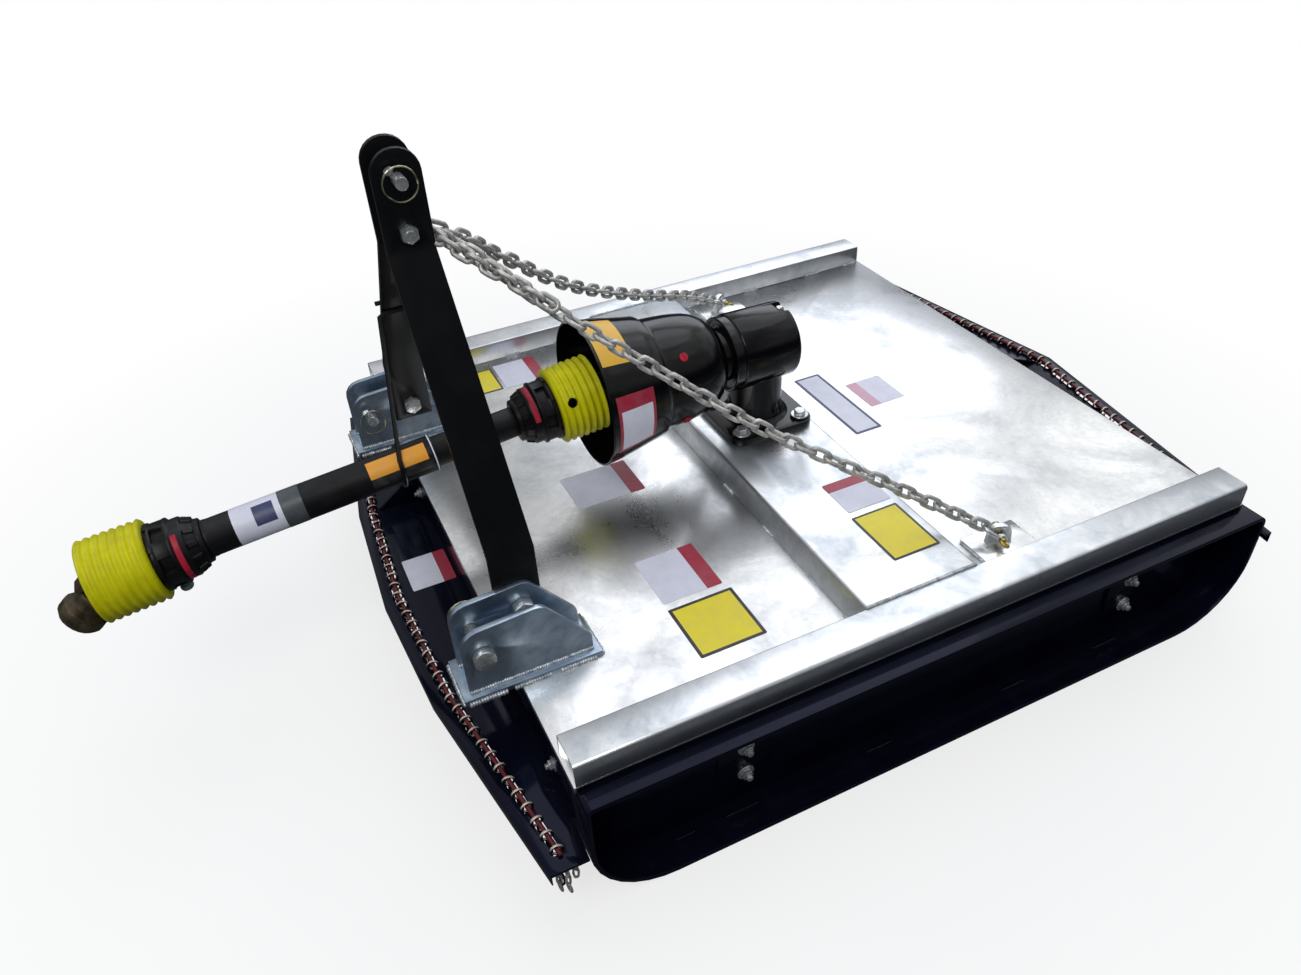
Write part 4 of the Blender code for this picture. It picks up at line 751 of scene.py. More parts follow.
def shaftFrame(along=0.0):
    # Z runs down the shaft to the tractor from the rear joint, X across the machine
    downhill = Vector((0, -math.cos(shaftSlope), -math.sin(shaftSlope)))
    across = Vector((1, 0, 0))
    lie = Matrix((across, downhill.cross(across), downhill)).transposed().to_4x4()
    return shift(onDeck(0, rearJointAt, axisHigh)) @ lie @ shift((0, 0, along))


cone = {
    # radius and distance from the mouth, then from the neck, inward
    "mouthRings": [(0.0622, 0.0), (0.064, -0.0002), (0.0668, 0.0002), (0.0684, 0.0014)],
    "neckRings": [(0.066, -0.0018), (0.0635, -0.0006), (0.06, 0.0), (0.0465, 0.0), (0.0465, -0.004), (0.061, -0.006),
                  (0.0622, -0.009)],
    "ribsFrom": 0.002, "ribsTo": 0.0045, "ribSteps": 7, "wall": 0.0668, "crest": 0.0021, "taper": 0.0006,
    "holeOut": 0.066, "holeDepth": 0.04,
}
coneTable = (
    # mouth and neck along the shaft; ribs are the moulded rings; the hole's place, angle and radius
    {"name": "rearConeRibbed", "node": "rear_cone", "mouth": -0.017, "neck": 0.0645, "ribs": 6,
     "hole": (0.0416, 29, 0.0088)},
    {"name": "frontConeRibbed", "node": "front_cone", "mouth": 0.838, "neck": 0.7415, "ribs": 7,
     "hole": (0.788, 200, 0.0088)},
)


def makeCone(settings, shape):
    mouth, neck = settings["mouth"], settings["neck"]
    way = 1 if neck > mouth else -1
    long = abs(neck - mouth) - shape["ribsFrom"] - shape["ribsTo"]
    steps = shape["ribSteps"]
    count = settings["ribs"] * steps
    rings = [(radius, mouth + way * step) for radius, step in shape["mouthRings"]]
    for i in range(count + 1):
        share = i / count
        crest = math.cos(2 * math.pi * (i % steps) / steps)
        radius = shape["wall"] + shape["crest"] * crest - shape["taper"] * share
        rings.append((radius, mouth + way * (shape["ribsFrom"] + long * share)))
    rings += [(radius, neck + way * step) for radius, step in shape["neckRings"]]
    shell = turnRings(settings["name"], rings, 72, closed=True)
    along, angle, radius = settings["hole"]
    deselectAll()
    bpy.ops.mesh.primitive_cylinder_add(vertices=32, radius=radius, depth=shape["holeDepth"])
    tool = freshPiece("holeTool")
    outward = outwardAt(angle)
    settle(tool, frameAt(outward * shape["holeOut"] + Vector((0, 0, along)), outward))
    carve(shell, tool)
    settle(shell, shaftFrame())
    smoothEdges(shell, 50)
    node = settings["node"]
    handOver(shell, settings["name"], bodyOf[node], [plastic["yellow"]], [node])


for settings in coneTable:
    makeCone(settings, cone)

collar = {
    # radius and distance from the wide end, which meets the cone
    "rings": [(0.018, 0.0003), (0.044, 0.0003), (0.056, 0.0003), (0.0568, 0.0015), (0.0568, 0.006), (0.0556, 0.0072),
              (0.0545, 0.0085), (0.0545, 0.026), (0.0552, 0.027), (0.0552, 0.03), (0.0515, 0.032), (0.05, 0.033),
              (0.05, 0.046), (0.049, 0.0475), (0.0455, 0.049), (0.042, 0.056), (0.0395, 0.062), (0.0375, 0.0625),
              (0.037, 0.069), (0.0345, 0.07), (0.018, 0.07)],
    # windows, ribs and notches: from, to, beyond this radius, repeated every, turned by (None: the collar's own
    # turn), degrees wide, inset, depth
    "marks": ((0.01, 0.0255, 0.05, 60, None, 28, 0.0016, -0.0065), (0.049, 0.0622, 0.035, 30, 0, 11, 0.0008, 0.0026),
              (0.0, 0.0062, 0.056, 45, 17, 16, 0.0006, -0.003)),
    "tabSize": (0.0502, 0.0048, 0.0022),  # radius, half width and thickness
    "knob": [(0.0045, 0.046), (0.0045, 0.066), (0.0092, 0.067), (0.0105, 0.069), (0.0105, 0.0725), (0.0092, 0.075),
             (0.006, 0.076)],
}
collarTable = (
    {"name": "rearCollarMoulded", "node": "rear_collar", "wide": 0.065, "way": 1, "stretch": 1.0, "tab": (15, 105),
     "turn": 10, "tabAt": 0.0395},
    {"name": "frontCollarMoulded", "node": "front_collar", "wide": 0.7413, "way": -1, "stretch": 1.11, "tab": (-38, 62),
     "turn": 0, "tabAt": 0.0365, "knobAt": 0.024},
)


def angleOf(spot):
    return math.degrees(math.atan2(spot.y, spot.x)) % 360


def arcBand(name, rings, start, end, thick, sides=120):
    # a strip of a turned wall between two angles, with its own thickness outwards
    band = turnRings(name, rings, sides)
    openUp(band, "FACE")
    span = (end - start) % 360
    chooseFaces(band, lambda spot, normal: abs(normal.z) > 0.5 or (angleOf(spot) - start) % 360 > span)
    bpy.ops.mesh.delete(type="FACE")
    closeUp()
    addModifier(band, "SOLIDIFY", thickness=thick, offset=1.0)
    applyModifiers(band)
    return band


def makeCollar(settings, shared):
    way, stretch = settings["way"], settings["stretch"]
    body = turnRings("collarBody", [(radius, way * step * stretch) for radius, step in shared["rings"]], 72)
    openUp(body, "FACE")
    for low, high, over, every, offset, wide, inset, depth in shared["marks"]:
        turn = settings["turn"] if offset is None else offset
        chooseFaces(body, lambda spot, normal: low * stretch < abs(spot.z) < high * stretch and spot.xy.length > over
                    and (angleOf(spot) + turn) % every < wide)
        bpy.ops.mesh.inset(thickness=inset, depth=depth)
    closeUp()
    bevelEdges(body, 0.0005, 1, 40)
    start, end = settings["tab"]
    at = way * settings["tabAt"] * stretch
    radius, half, thick = shared["tabSize"]
    strip = arcBand("collarTab", [(radius, at - half), (radius, at), (radius, at + half)], start, end, thick)
    bevelEdges(strip, 0.0007, 2, 50)
    parts = [tint(body, plastic["black"]), tint(strip, plastic["red"])]
    if "knobAt" in settings:
        knob = turnRings("lockKnob", shared["knob"], 28)
        settle(knob, shift((0, 0, at + settings["knobAt"])) @ turned(math.pi / 2, "X"))
        parts.append(tint(knob, plastic["grey"]))
    piece = joinAll(parts, settings["name"])
    smoothEdges(piece, 35)
    settle(piece, shaftFrame(settings["wide"]))
    node = settings["node"]
    handOver(piece, settings["name"], bodyOf[node], [], [node])


for settings in collarTable:
    makeCollar(settings, collar)

tubeTable = (
    # radius and distance along the shaft from the rear joint
    {"name": "outerGuardTube", "node": "outer_tube", "closed": True,
     "rings": [(0.0302, 0.281), (0.0315, 0.2816), (0.032, 0.283), (0.032, 0.2865), (0.0312, 0.2875), (0.031, 0.2885),
               (0.031, 0.655), (0.0316, 0.656), (0.0316, 0.6627), (0.0275, 0.6627), (0.0275, 0.281)]},
    {"name": "innerGuardTube", "node": "inner_tube", "closed": False,
     "rings": [(0.02, 0.1353), (0.0262, 0.1353), (0.0265, 0.136), (0.0265, 0.599), (0.0255, 0.6), (0.02, 0.6)]},
)
for settings in tubeTable:
    tube = turnRings(settings["name"], settings["rings"], 56, settings["closed"])
    settle(tube, shaftFrame())
    smoothEdges(tube, 35)
    node = settings["node"]
    handOver(tube, settings["name"], bodyOf[node], [plastic["tube"]], [node])


# chains, shackles and the shaft's ring pins

chain = {
    "pitch": 0.0256, "width": 0.0264, "wire": 0.004, "ringInside": 0.0146, "ringAt": (0.0135, 0.0398, 0.573),
    "play": 0.0004, "overBow": 0.0042,
    "left": ((0.0135, 0.083, 0.549), (0.11, 0.202, 0.449), (0.205, 0.343, 0.338), (0.302, 0.485, 0.235),
             (0.411, 0.647, 0.142)),
    "right": ((-0.0135, 0.082, 0.553), (-0.097, 0.2, 0.448), (-0.172, 0.324, 0.337), (-0.301, 0.538, 0.2),
              (-0.403, 0.705, 0.11)),
    "lug": (0.49, 0.826, 0.026),
    # the left chain's spare length, doubled back to the ring, its links closer and turned
    "spareClose": 0.92, "spareTurn": 0.75,
    "spare": ((0.026, 0.074, 0.556), (0.055, 0.112, 0.526), (0.09, 0.16, 0.49), (0.12, 0.203, 0.456)),
}
shackle = {
    "wire": 0.0038, "half": 0.014, "leg": 0.02,
    "eye": [(0.0052, -0.0042), (0.008, -0.0042), (0.0088, -0.0032), (0.0088, 0.0032), (0.008, 0.0042),
            (0.0052, 0.0042)],
    "pin": [(0.003, -0.0235), (0.006, -0.0235), (0.0068, -0.0223), (0.0068, -0.0205), (0.005, -0.0201), (0.005, 0.0195),
            (0.0046, 0.024), (0.0036, 0.0245)],
    "loop": (0.029, 0.007, 0.0026),  # place along the pin, radius, wire
}


def lugPlace(side):
    x, y, z = chain["lug"]
    return onDeck(side * x, y, z)


def makeLink(name, length, width, wire, around=20, section=8):
    # one welded link lying in XZ, its length along Z
    link = makeTorus(name, width / 2 - wire, wire, around, section, (math.pi / 2, 0, 0))
    for side in (1, -1):
        openUp(link)
        chooseVerts(link, lambda spot: spot.z * side > 0.0004)
        bpy.ops.transform.translate(value=(0, 0, side * (length - width) / 2))
        closeUp()
    smoothEdges(link, 60)
    return link


def smoothLine(points, steps=8):
    gaps = [(b - a).length for a, b in zip(points, points[1:])]
    slopes = [(b - a) / gap for a, b, gap in zip(points, points[1:], gaps)]
    tangents = [slopes[0]]
    for i in range(1, len(slopes)):
        share = gaps[i] / (gaps[i - 1] + gaps[i])
        tangents.append(slopes[i - 1] * share + slopes[i] * (1 - share))
    tangents.append(slopes[-1])
    line = []
    for i, gap in enumerate(gaps):
        a, b = points[i], points[i + 1]
        u, v = tangents[i] * gap, tangents[i + 1] * gap
        for step in range(steps):
            t = step / steps
            line.append(a * (2 * t ** 3 - 3 * t * t + 1) + u * (t ** 3 - 2 * t * t + t)
                        + b * (3 * t * t - 2 * t ** 3) + v * (t ** 3 - t * t))
    line.append(points[-1])
    return line


def walkLine(line, distance):
    for a, b in zip(line, line[1:]):
        step = (b - a).length
        if distance <= step + 1e-9:
            return a + (b - a) * distance / step, (b - a).normalized()
        distance -= step
    return line[-1], (line[-1] - line[-2]).normalized()


def layLinks(line, pitch, pattern, twist=0.0, every=2):
    # links along a line, each a quarter turn from the last, with a little slack turn of its own
    length = sum((b - a).length for a, b in zip(line, line[1:]))
    count = every * round((length / pitch + 1) / every)
    spacing = length / (count - 1)
    links = []
    for i in range(count):
        spot, heading = walkLine(line, spacing * i)
        level = heading.cross(Vector((0, 0, 1))).normalized()
        across = heading.cross(level) if i % 2 else level
        lie = Matrix((across, heading.cross(across), heading)).transposed().to_4x4()
        slack = turned(twist + dice.uniform(-0.16, 0.16), "Z")
        links.append(copyOf(pattern, shift(spot) @ lie @ slack))
    return links


def makeCheckChain(side, word, settings):
    wire, pitch = settings["wire"], settings["pitch"]
    x, y, z = settings["ringAt"]
    hub = onDeck(side * x, y, z)
    points = [onDeck(*spot) for spot in settings[word]]
    pull = (lugPlace(side) - points[-1]).normalized()
    crown = lugPlace(side) - pull * (shackle["leg"] + shackle["half"])
    lead = Vector((0, points[0].y - hub.y, points[0].z - hub.z)).normalized()
    ringRadius = settings["ringInside"] + wire
    first = hub + lead * (ringRadius + pitch / 2 - wire)
    last = crown - pull * (pitch / 2 - settings["overBow"])
    link = makeLink("link", pitch + 4 * wire - settings["play"], settings["width"], wire)
    links = layLinks(smoothLine([first, *points, last]), pitch, link)
    if word == "left":
        spare = smoothLine([onDeck(*spot) for spot in settings["spare"]])
        links += layLinks(spare, pitch * settings["spareClose"], link, settings["spareTurn"], 1)
    ring = makeTorus("tieRing", ringRadius, wire, 32, 10, (0, math.pi / 2, 0))
    smoothEdges(ring, 60)
    settle(ring, shift(hub))
    discard(link)
    name, node = "checkChain_" + word, "check_chain_" + word
    handOver(joinAll([ring, *links], name), name, "frame", [zinc["chain"]], [node])


def makeShackle(side, word, settings):
    half, leg = settings["half"], settings["leg"]
    pull = (lugPlace(side) - onDeck(*chain[word][-1])).normalized()
    lie = shift(lugPlace(side)) @ turned(-math.atan2(pull.x, pull.y), "Z") @ turned(-math.asin(-pull.z), "X")
    bow = makeTorus("bow", half, settings["wire"], 28, 10)
    openUp(bow)
    chooseVerts(bow, lambda spot: spot.y > 0.0004)
    bpy.ops.mesh.delete(type="VERT")
    bpy.ops.mesh.select_mode(type="EDGE")
    chooseEdges(bow, lambda edge: edge.is_boundary)
    bpy.ops.mesh.extrude_region_move(TRANSFORM_OT_translate={"value": (0, leg, 0)})
    chooseAll()
    bpy.ops.mesh.fill_holes(sides=0)
    faceOut()
    bpy.ops.transform.translate(value=(0, -leg, 0))
    closeUp()
    parts = [tint(bow, zinc["bolt"])]
    for end in (-half, half):
        eye = turnRings("eye", settings["eye"], 28, closed=True)
        parts.append(tint(settle(eye, shift((end, 0, 0)) @ turned(math.pi / 2, "Y")), zinc["bolt"]))
    pin = settle(turnRings("shacklePin", settings["pin"], 24), turned(math.pi / 2, "Y"))
    loopAt, radius, wire = settings["loop"]
    loop = makeTorus("pinEye", radius, wire, 20, 8, location=(loopAt, 0, 0))
    parts += [tint(pin, zinc["gold"]), tint(loop, zinc["gold"])]
    piece = joinAll(parts, "bowShackle_" + word)
    smoothEdges(piece, 45)
    settle(piece, lie)
    handOver(piece, "bowShackle_" + word, "frame", [], ["shackle_" + word])


for side, word in ((1, "left"), (-1, "right")):
    makeCheckChain(side, word, chain)
    makeShackle(side, word, shackle)

curtain = {
    "pitch": 0.028, "bend": 0.27, "end": 0.65, "inset": 0.028, "foot": 0.0415,
    "front": {"reach": (0.139, 0.124, 0.062), "edge": 0.0, "way": -1, "level": -0.108, "count": 22,
              # loose strands under the guard's two corners: across, along and links
              "ends": ((0.632, -0.047, 3), (0.64, -0.036, 3), (0.634, -0.022, 2))},
    "rear": {"reach": (0.146, 0.104, 0.046), "edge": 1.271, "way": 1, "level": -0.055, "count": 20,
             "ends": ()},
    "rod": 0.0037, "rodOver": 0.0048, "rodPast": 0.012, "hoop": 0.0088,
    "linkLong": 0.027, "linkWide": 0.0118, "wire": 0.0021,
    "play": 0.0006, "firstDrop": 0.002, "endsTop": -0.121,
}


def curtainLine(settings, row, x):
    middle, bend, end = row["reach"]
    if abs(x) < settings["bend"]:
        reach = middle + (bend - middle) * abs(x) / settings["bend"]
    else:
        reach = bend + (end - bend) * (abs(x) - settings["bend"]) / (settings["end"] - settings["bend"])
    return row["edge"] + row["way"] * (reach - settings["inset"])


def makeCurtain(word, settings):
    row = settings[word]
    long, wire, hoop, thick = [settings[key] for key in ("linkLong", "wire", "hoop", "rod")]
    rodHeight = row["level"] + settings["rodOver"]
    reach = row["count"] * settings["pitch"] + settings["rodPast"]
    parts = []
    stops = [-reach, -settings["bend"], 0, settings["bend"], reach]
    for left, right in zip(stops, stops[1:]):
        a, b = [onDeck(x, curtainLine(settings, row, x), rodHeight) for x in (left, right)]
        run = (b - a).length
        bar = turnRings("curtainRod", [(thick - 0.001, -0.0006), (thick, 0.0006), (thick, run - 0.0006),
                                       (thick - 0.001, run + 0.0006)], 16)
        parts.append(settle(tint(bar, paint["rodRed"]), frameAt(a, b - a)))
    ringWidth = 2 * (hoop + wire)
    sag = hoop - wire - thick
    topLink = tint(makeLink("topLink", ringWidth, ringWidth, wire, 16, 6), steel["rim"])
    link = tint(makeLink("curtainLink", long, settings["linkWide"], wire, 8, 5), steel["link"])
    step = long - 4 * wire + settings["play"]
    for i in range(-row["count"], row["count"] + 1):
        x = i * settings["pitch"]
        top = onDeck(x, curtainLine(settings, row, x), rodHeight)
        across = turned(math.pi / 2 + dice.uniform(-0.25, 0.25), "Z")
        parts.append(copyOf(topLink, shift(top - Vector((0, 0, sag))) @ across))
        height = top.z - sag - (ringWidth + long) / 2 + 3 * wire - settings["firstDrop"]
        turn = 0
        while height - long / 2 > settings["foot"]:
            quarter = turned(math.pi / 2 * turn + dice.uniform(-0.3, 0.3), "Z")
            parts.append(copyOf(link, shift((top.x, top.y, height)) @ quarter))
            height -= step
            turn += 1
    for x, y, drop in row["ends"]:
        for side in (1, -1):
            place = onDeck(side * x, y, settings["endsTop"])
            for i in range(drop):
                quarter = turned(math.pi / 2 * i + dice.uniform(-0.4, 0.4), "Z")
                lean = turned(dice.uniform(-0.15, 0.15), "X")
                spot = place - Vector((0, 0, step * (i + 0.5)))
                parts.append(tint(copyOf(link, shift(spot) @ quarter @ lean), zinc["chain"]))
    discard(topLink, link)
    node = word + "_curtain"
    handOver(joinAll(parts, node), word + "ChainCurtain", "frame", [], [node])


for word in ("front", "rear"):
    makeCurtain(word, curtain)

ringPin = {
    "ring": 0.024, "wire": 0.0013, "ringAt": (0, 0.0065, -0.004), "bendBelow": -0.012, "bend": 0.0045,
    "stem": [(0.0015, -0.019), (0.0035, -0.017), (0.0042, -0.013), (0.0042, 0.013), (0.0065, 0.0135), (0.0072, 0.015),
             (0.0072, 0.0185), (0.006, 0.02), (0.002, 0.0204)],
}
ringPinTable = (
    # name, place of the pin's hole, way the pin runs, turn of the stem
    ("topLynchPin", (0.05, 0.032, 0.655), (1, 0, 0), -0.55),
    ("lowerLynchPin_left", (0.306, -0.049, 0.084), (-1, 0, 0), -0.6),
    ("lowerLynchPin_right", (-0.306, -0.049, 0.084), (1, 0, 0), -0.35),
)


def makeRingPin(name, place, way, turn, settings):
    stem = tint(turnRings("stem", settings["stem"], 20), zinc["bolt"])
    ring = makeTorus("pinRing", settings["ring"], settings["wire"], 48, 8, (math.pi / 2, 0, 0))
    openUp(ring)
    chooseVerts(ring, lambda spot: spot.z < settings["bendBelow"])
    bpy.ops.transform.translate(value=(0, settings["bend"], 0))
    closeUp()
    settle(ring, shift(settings["ringAt"]))
    piece = joinAll([stem, tint(ring, zinc["straw"])], name)
    smoothEdges(piece, 45)
    outward = Vector(way)
    up = Vector((0, math.sin(turn), math.cos(turn)))
    lie = Matrix((up.cross(outward) * -1, outward, up)).transposed().to_4x4()
    settle(piece, shift(onDeck(*place)) @ lie)
    handOver(piece, name, "frame", [])


for name, place, way, turn in ringPinTable:
    makeRingPin(name, place, way, turn, ringPin)


# bolts and nuts

bolt = {
    "across": 0.0098, "high": 0.0072, "washer": 0.0145, "washerHigh": 0.0018, "end": 0.006, "edge": 0.0004,
    "hole": 0.004, "thread": (0.0056, 0.005, 0.001, 6),  # crest, root, pitch and turns
}
boltTable = (
    # place, way out of the face, nut with a bolt's end or a head, scale
    *[((x * 0.064, rotorAt + y * 0.064, 0.0618), (0, 0, 1), "head", 1.15) for x in (-1, 1) for y in (-1, 1)],
    *[((side * 0.585, y, z), (side, 0, 0), "nut", 1.0)
      for side in (-1, 1) for y in (0.2825, 1.0675) for z in (-0.11, -0.17)],
    *[((side * 0.245, 0.0043, -0.078), (0, -1, 0), "nut", 0.85) for side in (-1, 1)],
    *[((side * 0.5, 0.0043, -0.078), (0, -1, 0), "nut", 0.85) for side in (-1, 1)],
    *[((side * 0.245, 1.2667, -0.03), (0, 1, 0), "nut", 0.85) for side in (-1, 1)],
)


def hexPrism(name, across, low, high):
    deselectAll()
    bpy.ops.mesh.primitive_cylinder_add(vertices=6, radius=across, depth=high - low, location=(0, 0, (low + high) / 2))
    prism = freshPiece(name)
    openUp(prism, "FACE")
    chooseFaces(prism, lambda spot, normal: normal.z > 0.9)
    bpy.ops.mesh.inset(thickness=across * 0.12, depth=across * 0.07)
    closeUp()
    bevelEdges(prism, 0.0004, 2, 20)
    return prism


def makeBoltPatterns(settings):
    across, thick, wide = settings["across"], settings["washerHigh"], settings["washer"]
    top = thick + settings["high"]
    edge = settings["edge"]
    washer = turnRings("washer", [(settings["hole"], 0.0), (wide - edge, 0.0), (wide, edge), (wide, thick - edge),
                                  (wide - edge, thick), (settings["hole"], thick)], 32)
    head = joinAll([copyOf(washer), hexPrism("head", across, thick, top)], "boltHead")
    crest, root, pitch, turns = settings["thread"]
    thread = [(crest, 0.0)]
    for i in range(turns):
        thread += [(crest, top + pitch * i), (root, top + pitch * (i + 0.5))]
    thread += [(crest, top + settings["end"]), (crest - 0.0012, top + settings["end"] + 0.0012)]
    nut = joinAll([washer, hexPrism("nut", across, thick, top), turnRings("thread", thread, 20)], "boltNut")
    return {"head": head, "nut": nut}


patterns = makeBoltPatterns(bolt)
bolts = []
for place, way, kind, scale in boltTable:
    seat = frameAt(onDeck(*place), way, dice.uniform(0, 1)) @ Matrix.Scale(scale, 4)
    bolts.append(copyOf(patterns[kind], seat))
discard(*patterns.values())
allBolts = joinAll(bolts, "zincBolts")
smoothEdges(allBolts, 30)
handOver(allBolts, "zincBolts", "frame", [zinc["bolt"]])

filler = {
    "place": (0, 0.686, 0.2545), "across": 0.01, "high": 0.009,
    "seat": [(0.003, -0.002), (0.0112, -0.002), (0.0115, 0.0), (0.0105, 0.0012), (0.003, 0.0012)],
    "top": [(0.003, 0.0078), (0.006, 0.0078), (0.0062, 0.012), (0.005, 0.0135), (0.001, 0.0135)],
}
plugHex = tint(hexPrism("plugHex", filler["across"], 0.0, filler["high"]), steel["oiled"])
plugSeat = tint(turnRings("plugSeat", filler["seat"], 28), plastic["red"])
plugTop = tint(turnRings("plugTop", filler["top"], 20), zinc["bolt"])
fillerPlug = joinAll([plugHex, plugSeat, plugTop], "fillerPlug")
smoothEdges(fillerPlug, 30)
settle(fillerPlug, shift(onDeck(*filler["place"])))
handOver(fillerPlug, "fillerPlug", "frame", [])


# weld beads

bead = {"size": 0.0036, "step": 0.003, "squeeze": 0.62, "wander": 0.0003}


def weldBead(name, runs, material, settings):
    # each run is a start, an end and the bead's size against the usual
    deselectAll()
    bpy.ops.mesh.primitive_uv_sphere_add(segments=8, ring_count=5, radius=settings["size"])
    blob = freshPiece("weldBlob")
    strips = []
    for start, end, share in runs:
        a, b = onDeck(*start), onDeck(*end)
        run = b - a
        count = max(2, int(run.length / (settings["step"] * share)))
        for i in range(count):
            spot = a + run * (i / (count - 1))
            spot += Vector([dice.uniform(-settings["wander"], settings["wander"]) for _ in range(3)])
            size = share * dice.uniform(0.85, 1.15)
            squeeze = Matrix.Diagonal((size, size, size * settings["squeeze"], 1))
            strips.append(copyOf(blob, frameAt(spot, run, dice.uniform(0, 3)) @ squeeze))
    discard(blob)
    piece = joinAll(strips, name)
    smoothEdges(piece, 80)
    handOver(piece, name, "frame", [material])


bracketRuns = []
for side in (1, -1):
    for x in (0.323, 0.333, 0.383, 0.393):
        bracketRuns.append(((side * x, -0.074, 0.0112), (side * x, 0.12, 0.0112), 1.2))
    for y in (-0.0885, 0.1325):
        bracketRuns.append(((side * 0.316, y, 0.0015), (side * 0.402, y, 0.0018), 1.2))
    for x in (0.3125, 0.4055):
        for start in (-0.08, -0.01, 0.065):
            bracketRuns.append(((side * x, start, 0.0015), (side * x, start + 0.055, 0.0018), 1.25))
weldBead("bracketWelds", bracketRuns, zinc["weld"], bead)

deckRuns = []
for side in (1, -1):
    for start in (0.01, 0.15, 0.3, 0.42, 0.76, 0.93, 1.11, 1.225):
        deckRuns.append(((side * railEdge, start, 0.0008), (side * railEdge, start + 0.034, 0.0008), 0.75))
    for y in (0.5035, 0.7385):
        for x in (0.12, 0.26, 0.4, 0.51):
            deckRuns.append(((side * x, y, 0.0008), (side * (x + 0.03), y, 0.0008), 0.75))
    deckRuns.append(((side * railEdge, 0.516, 0.044), (side * railEdge, 0.726, 0.044), 0.85))
    lugX = side * chain["lug"][0]
    for x in (-0.0355, 0.0355):
        deckRuns.append(((lugX + x, 0.782, 0.0015), (lugX + x, 0.88, 0.0015), 0.85))
    for y in (0.7755, 0.8865):
        deckRuns.append(((lugX - 0.03, y, 0.0015), (lugX + 0.03, y, 0.0015), 0.85))
weldBead("deckWelds", deckRuns, zinc["weld"], bead)

skidSpans = ((0.15, 0.182), (0.241, 0.296), (0.507, 0.554), (0.793, 0.841), (1.003, 1.055))
skidRuns = [((side * 0.6, start, -0.241), (side * 0.6, end, -0.241), 1.0)
            for side in (1, -1) for start, end in skidSpans]
weldBead("skidWelds", skidRuns, paint["enamel"], bead)


# blank labels

labelTable = (
    # name, centre on the deck, size along X and Y, height of the face, ground, band, the band's side and share
    ("deckLabel_a", (0.425, 0.32), (0.117, 0.117), 0.0, "yellow", "ink", "edge", 0.05),
    ("deckLabel_b", (0.294, 0.317), (0.114, 0.109), 0.0, "lilac", "crimson", "+y", 0.26),
    ("deckLabel_c", (0.005, 0.303), (0.102, 0.134), 0.0, "lilac", "crimson", "+y", 0.22),
    ("deckLabel_d", (0.301, 0.667), (0.085, 0.088), 0.0443, "lilac", "crimson", "-x", 0.28),
    ("deckLabel_e", (0.419, 0.663), (0.122, 0.092), 0.0443, "yellow", "ink", "edge", 0.05),
    ("deckLabel_f", (-0.012, 0.841), (0.232, 0.061), 0.0, "lilac", "navy", "edge", 0.1),
    ("deckLabel_g", (-0.012, 0.937), (0.095, 0.083), 0.0, "lilac", "rose", "-y", 0.3),
    ("deckLabel_h", (-0.465, 0.228), (0.096, 0.047), 0.0, "yellow", "ink", "edge", 0.08),
    ("deckLabel_i", (-0.467, 0.306), (0.104, 0.095), 0.0, "lilac", "crimson", "+y", 0.26),
    ("guardLabel", (-0.045, -0.041), (0.092, 0.082), -0.108, "lilac", "crimson", "+y", 0.28),
)


labelFilm = {"corner": 0.003, "thick": 0.0004, "lift": 0.0001, "inner": 0.3}


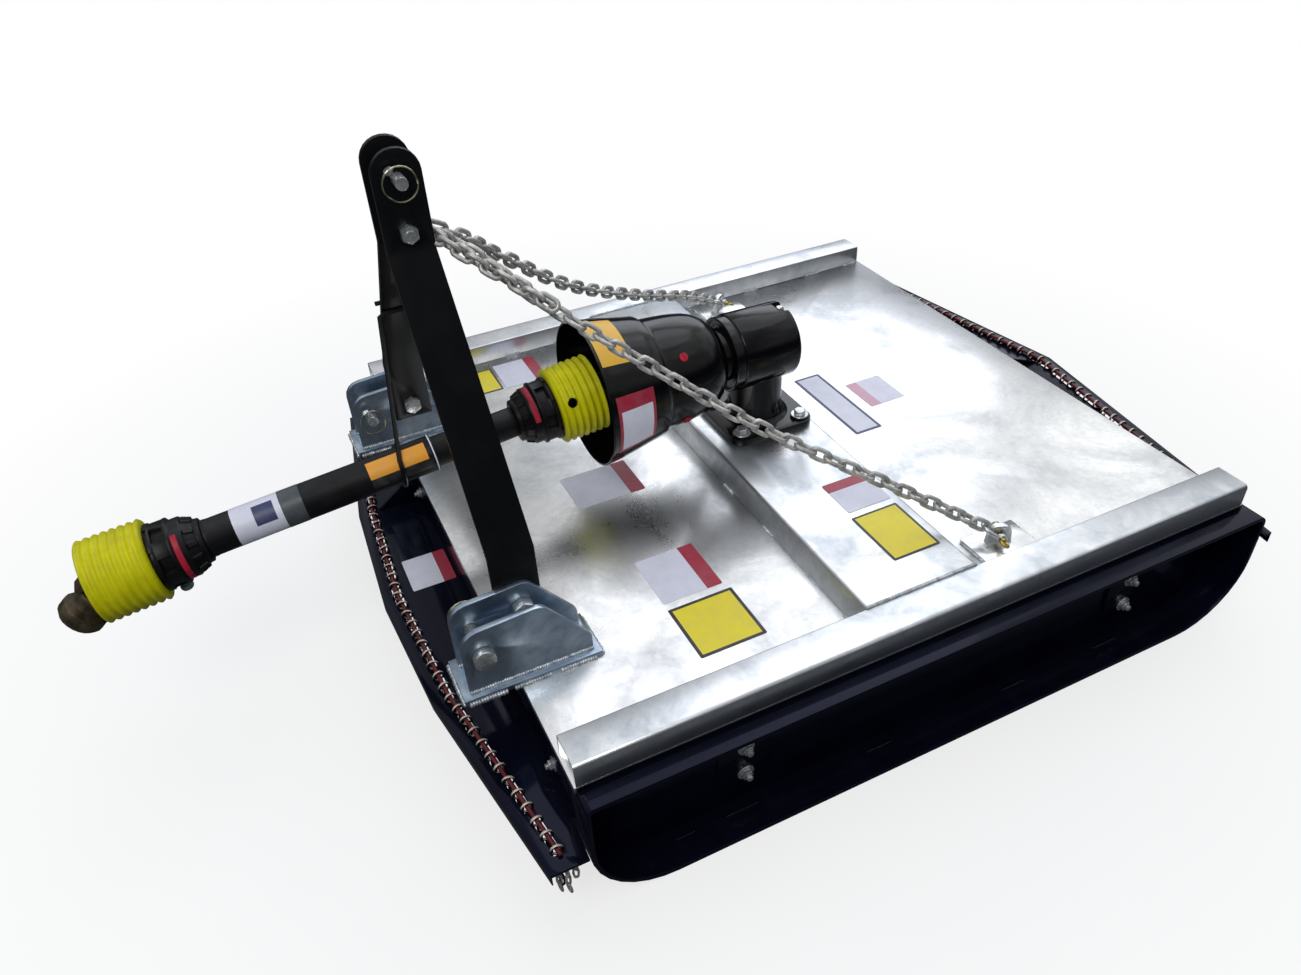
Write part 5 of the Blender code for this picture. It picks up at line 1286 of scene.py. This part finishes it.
def makeLabel(name, centre, size, height, ground, band, side, share, settings):
    # a thin printed film with round corners, left blank
    deselectAll()
    bpy.ops.mesh.primitive_plane_add(size=1)
    film = freshPiece(name)
    openUp(film)
    chooseAll()
    bpy.ops.transform.resize(value=(*size, 1))
    if side == "edge":
        bpy.ops.mesh.inset(thickness=share * min(size))
    chooseVerts(film, lambda spot: abs(spot.x) > size[0] * 0.499 and abs(spot.y) > size[1] * 0.499)
    bpy.ops.mesh.bevel(offset=settings["corner"], segments=3, affect="VERTICES")
    bpy.ops.mesh.select_mode(type="FACE")
    chooseAll()
    if side == "edge":
        onBand = lambda spot: max(abs(spot.x) / size[0], abs(spot.y) / size[1]) >= settings["inner"]
    else:
        way, axis = (-1 if side[0] == "-" else 1), "xy".index(side[1])
        line = size[axis] * (0.5 - share)
        normal = Vector((0, 0, 0))
        normal[axis] = way
        bpy.ops.mesh.bisect(plane_co=normal * line, plane_no=normal)
        onBand = lambda spot: spot[axis] * way > line
    chooseAll()
    bpy.ops.mesh.extrude_region_move(TRANSFORM_OT_translate={"value": (0, 0, settings["thick"])})
    faceOut()
    closeUp()
    for material in (label[ground], label[band]):
        film.data.materials.append(material)
    for face in film.data.polygons:
        face.material_index = int(onBand(face.center))
    settle(film, shift(onDeck(*centre, height + settings["lift"])))
    handOver(film, name, "frame", [])


for row in labelTable:
    makeLabel(*row, labelFilm)


def bowlRings(low, high, lift, steps=8):
    # rings that lie on the bowl's outside between two distances ahead of its back
    rings = []
    for i in range(steps + 1):
        ahead = low + (high - low) * i / steps
        for (near, start), (wide, end) in zip(bowl["rings"], bowl["rings"][1:]):
            if start <= ahead < end:
                rings.append((near + (wide - near) * (ahead - start) / (end - start) + lift, ahead))
                break
    return rings


def tubeRings(low, high, radius=0.0311):
    return [(radius, low), (radius, (low + high) / 2), (radius, high)]


wrapTable = (
    # name, frame, rings, from and to in degrees, finish, body
    ("bowlLabelFrame", bowlFrame(), bowlRings(0.174, 0.248, 0.0002), -27, 23, "crimson", "frame"),
    ("bowlLabelField", bowlFrame(), bowlRings(0.18, 0.242, 0.0006), -24.5, 12, "lilac", "frame"),
    ("bowlLabelTop", bowlFrame(), bowlRings(0.196, 0.254, 0.0002), 47, 98, "amber", "frame"),
    ("tubeLabelOrange", shaftFrame(), tubeRings(0.295, 0.395), 22, 77, "orange", "front_drive"),
    ("tubeLabelBlack", shaftFrame(), tubeRings(0.289, 0.395), -12, 21, "ink", "front_drive"),
    ("tubeLine", shaftFrame(), tubeRings(0.2835, 0.2858, 0.0321), 0, 359, "lilac", "front_drive"),
    ("tubeLabelFront", shaftFrame(), tubeRings(0.54, 0.617), -40, 150, "lilac", "front_drive"),
    ("tubeLabelBlue", shaftFrame(), tubeRings(0.55, 0.583, 0.0313), 15, 78, "navy", "front_drive"),
    ("tubeTape", shaftFrame(), tubeRings(0.506, 0.5395), 0, 359, "tape", "front_drive"),
)
for name, matrix, rings, start, end, finish, body in wrapTable:
    wrap = arcBand(name, rings, start, end, 0.0003)
    smoothEdges(wrap, 35)
    settle(wrap, matrix)
    handOver(wrap, name, body, [label[finish]])
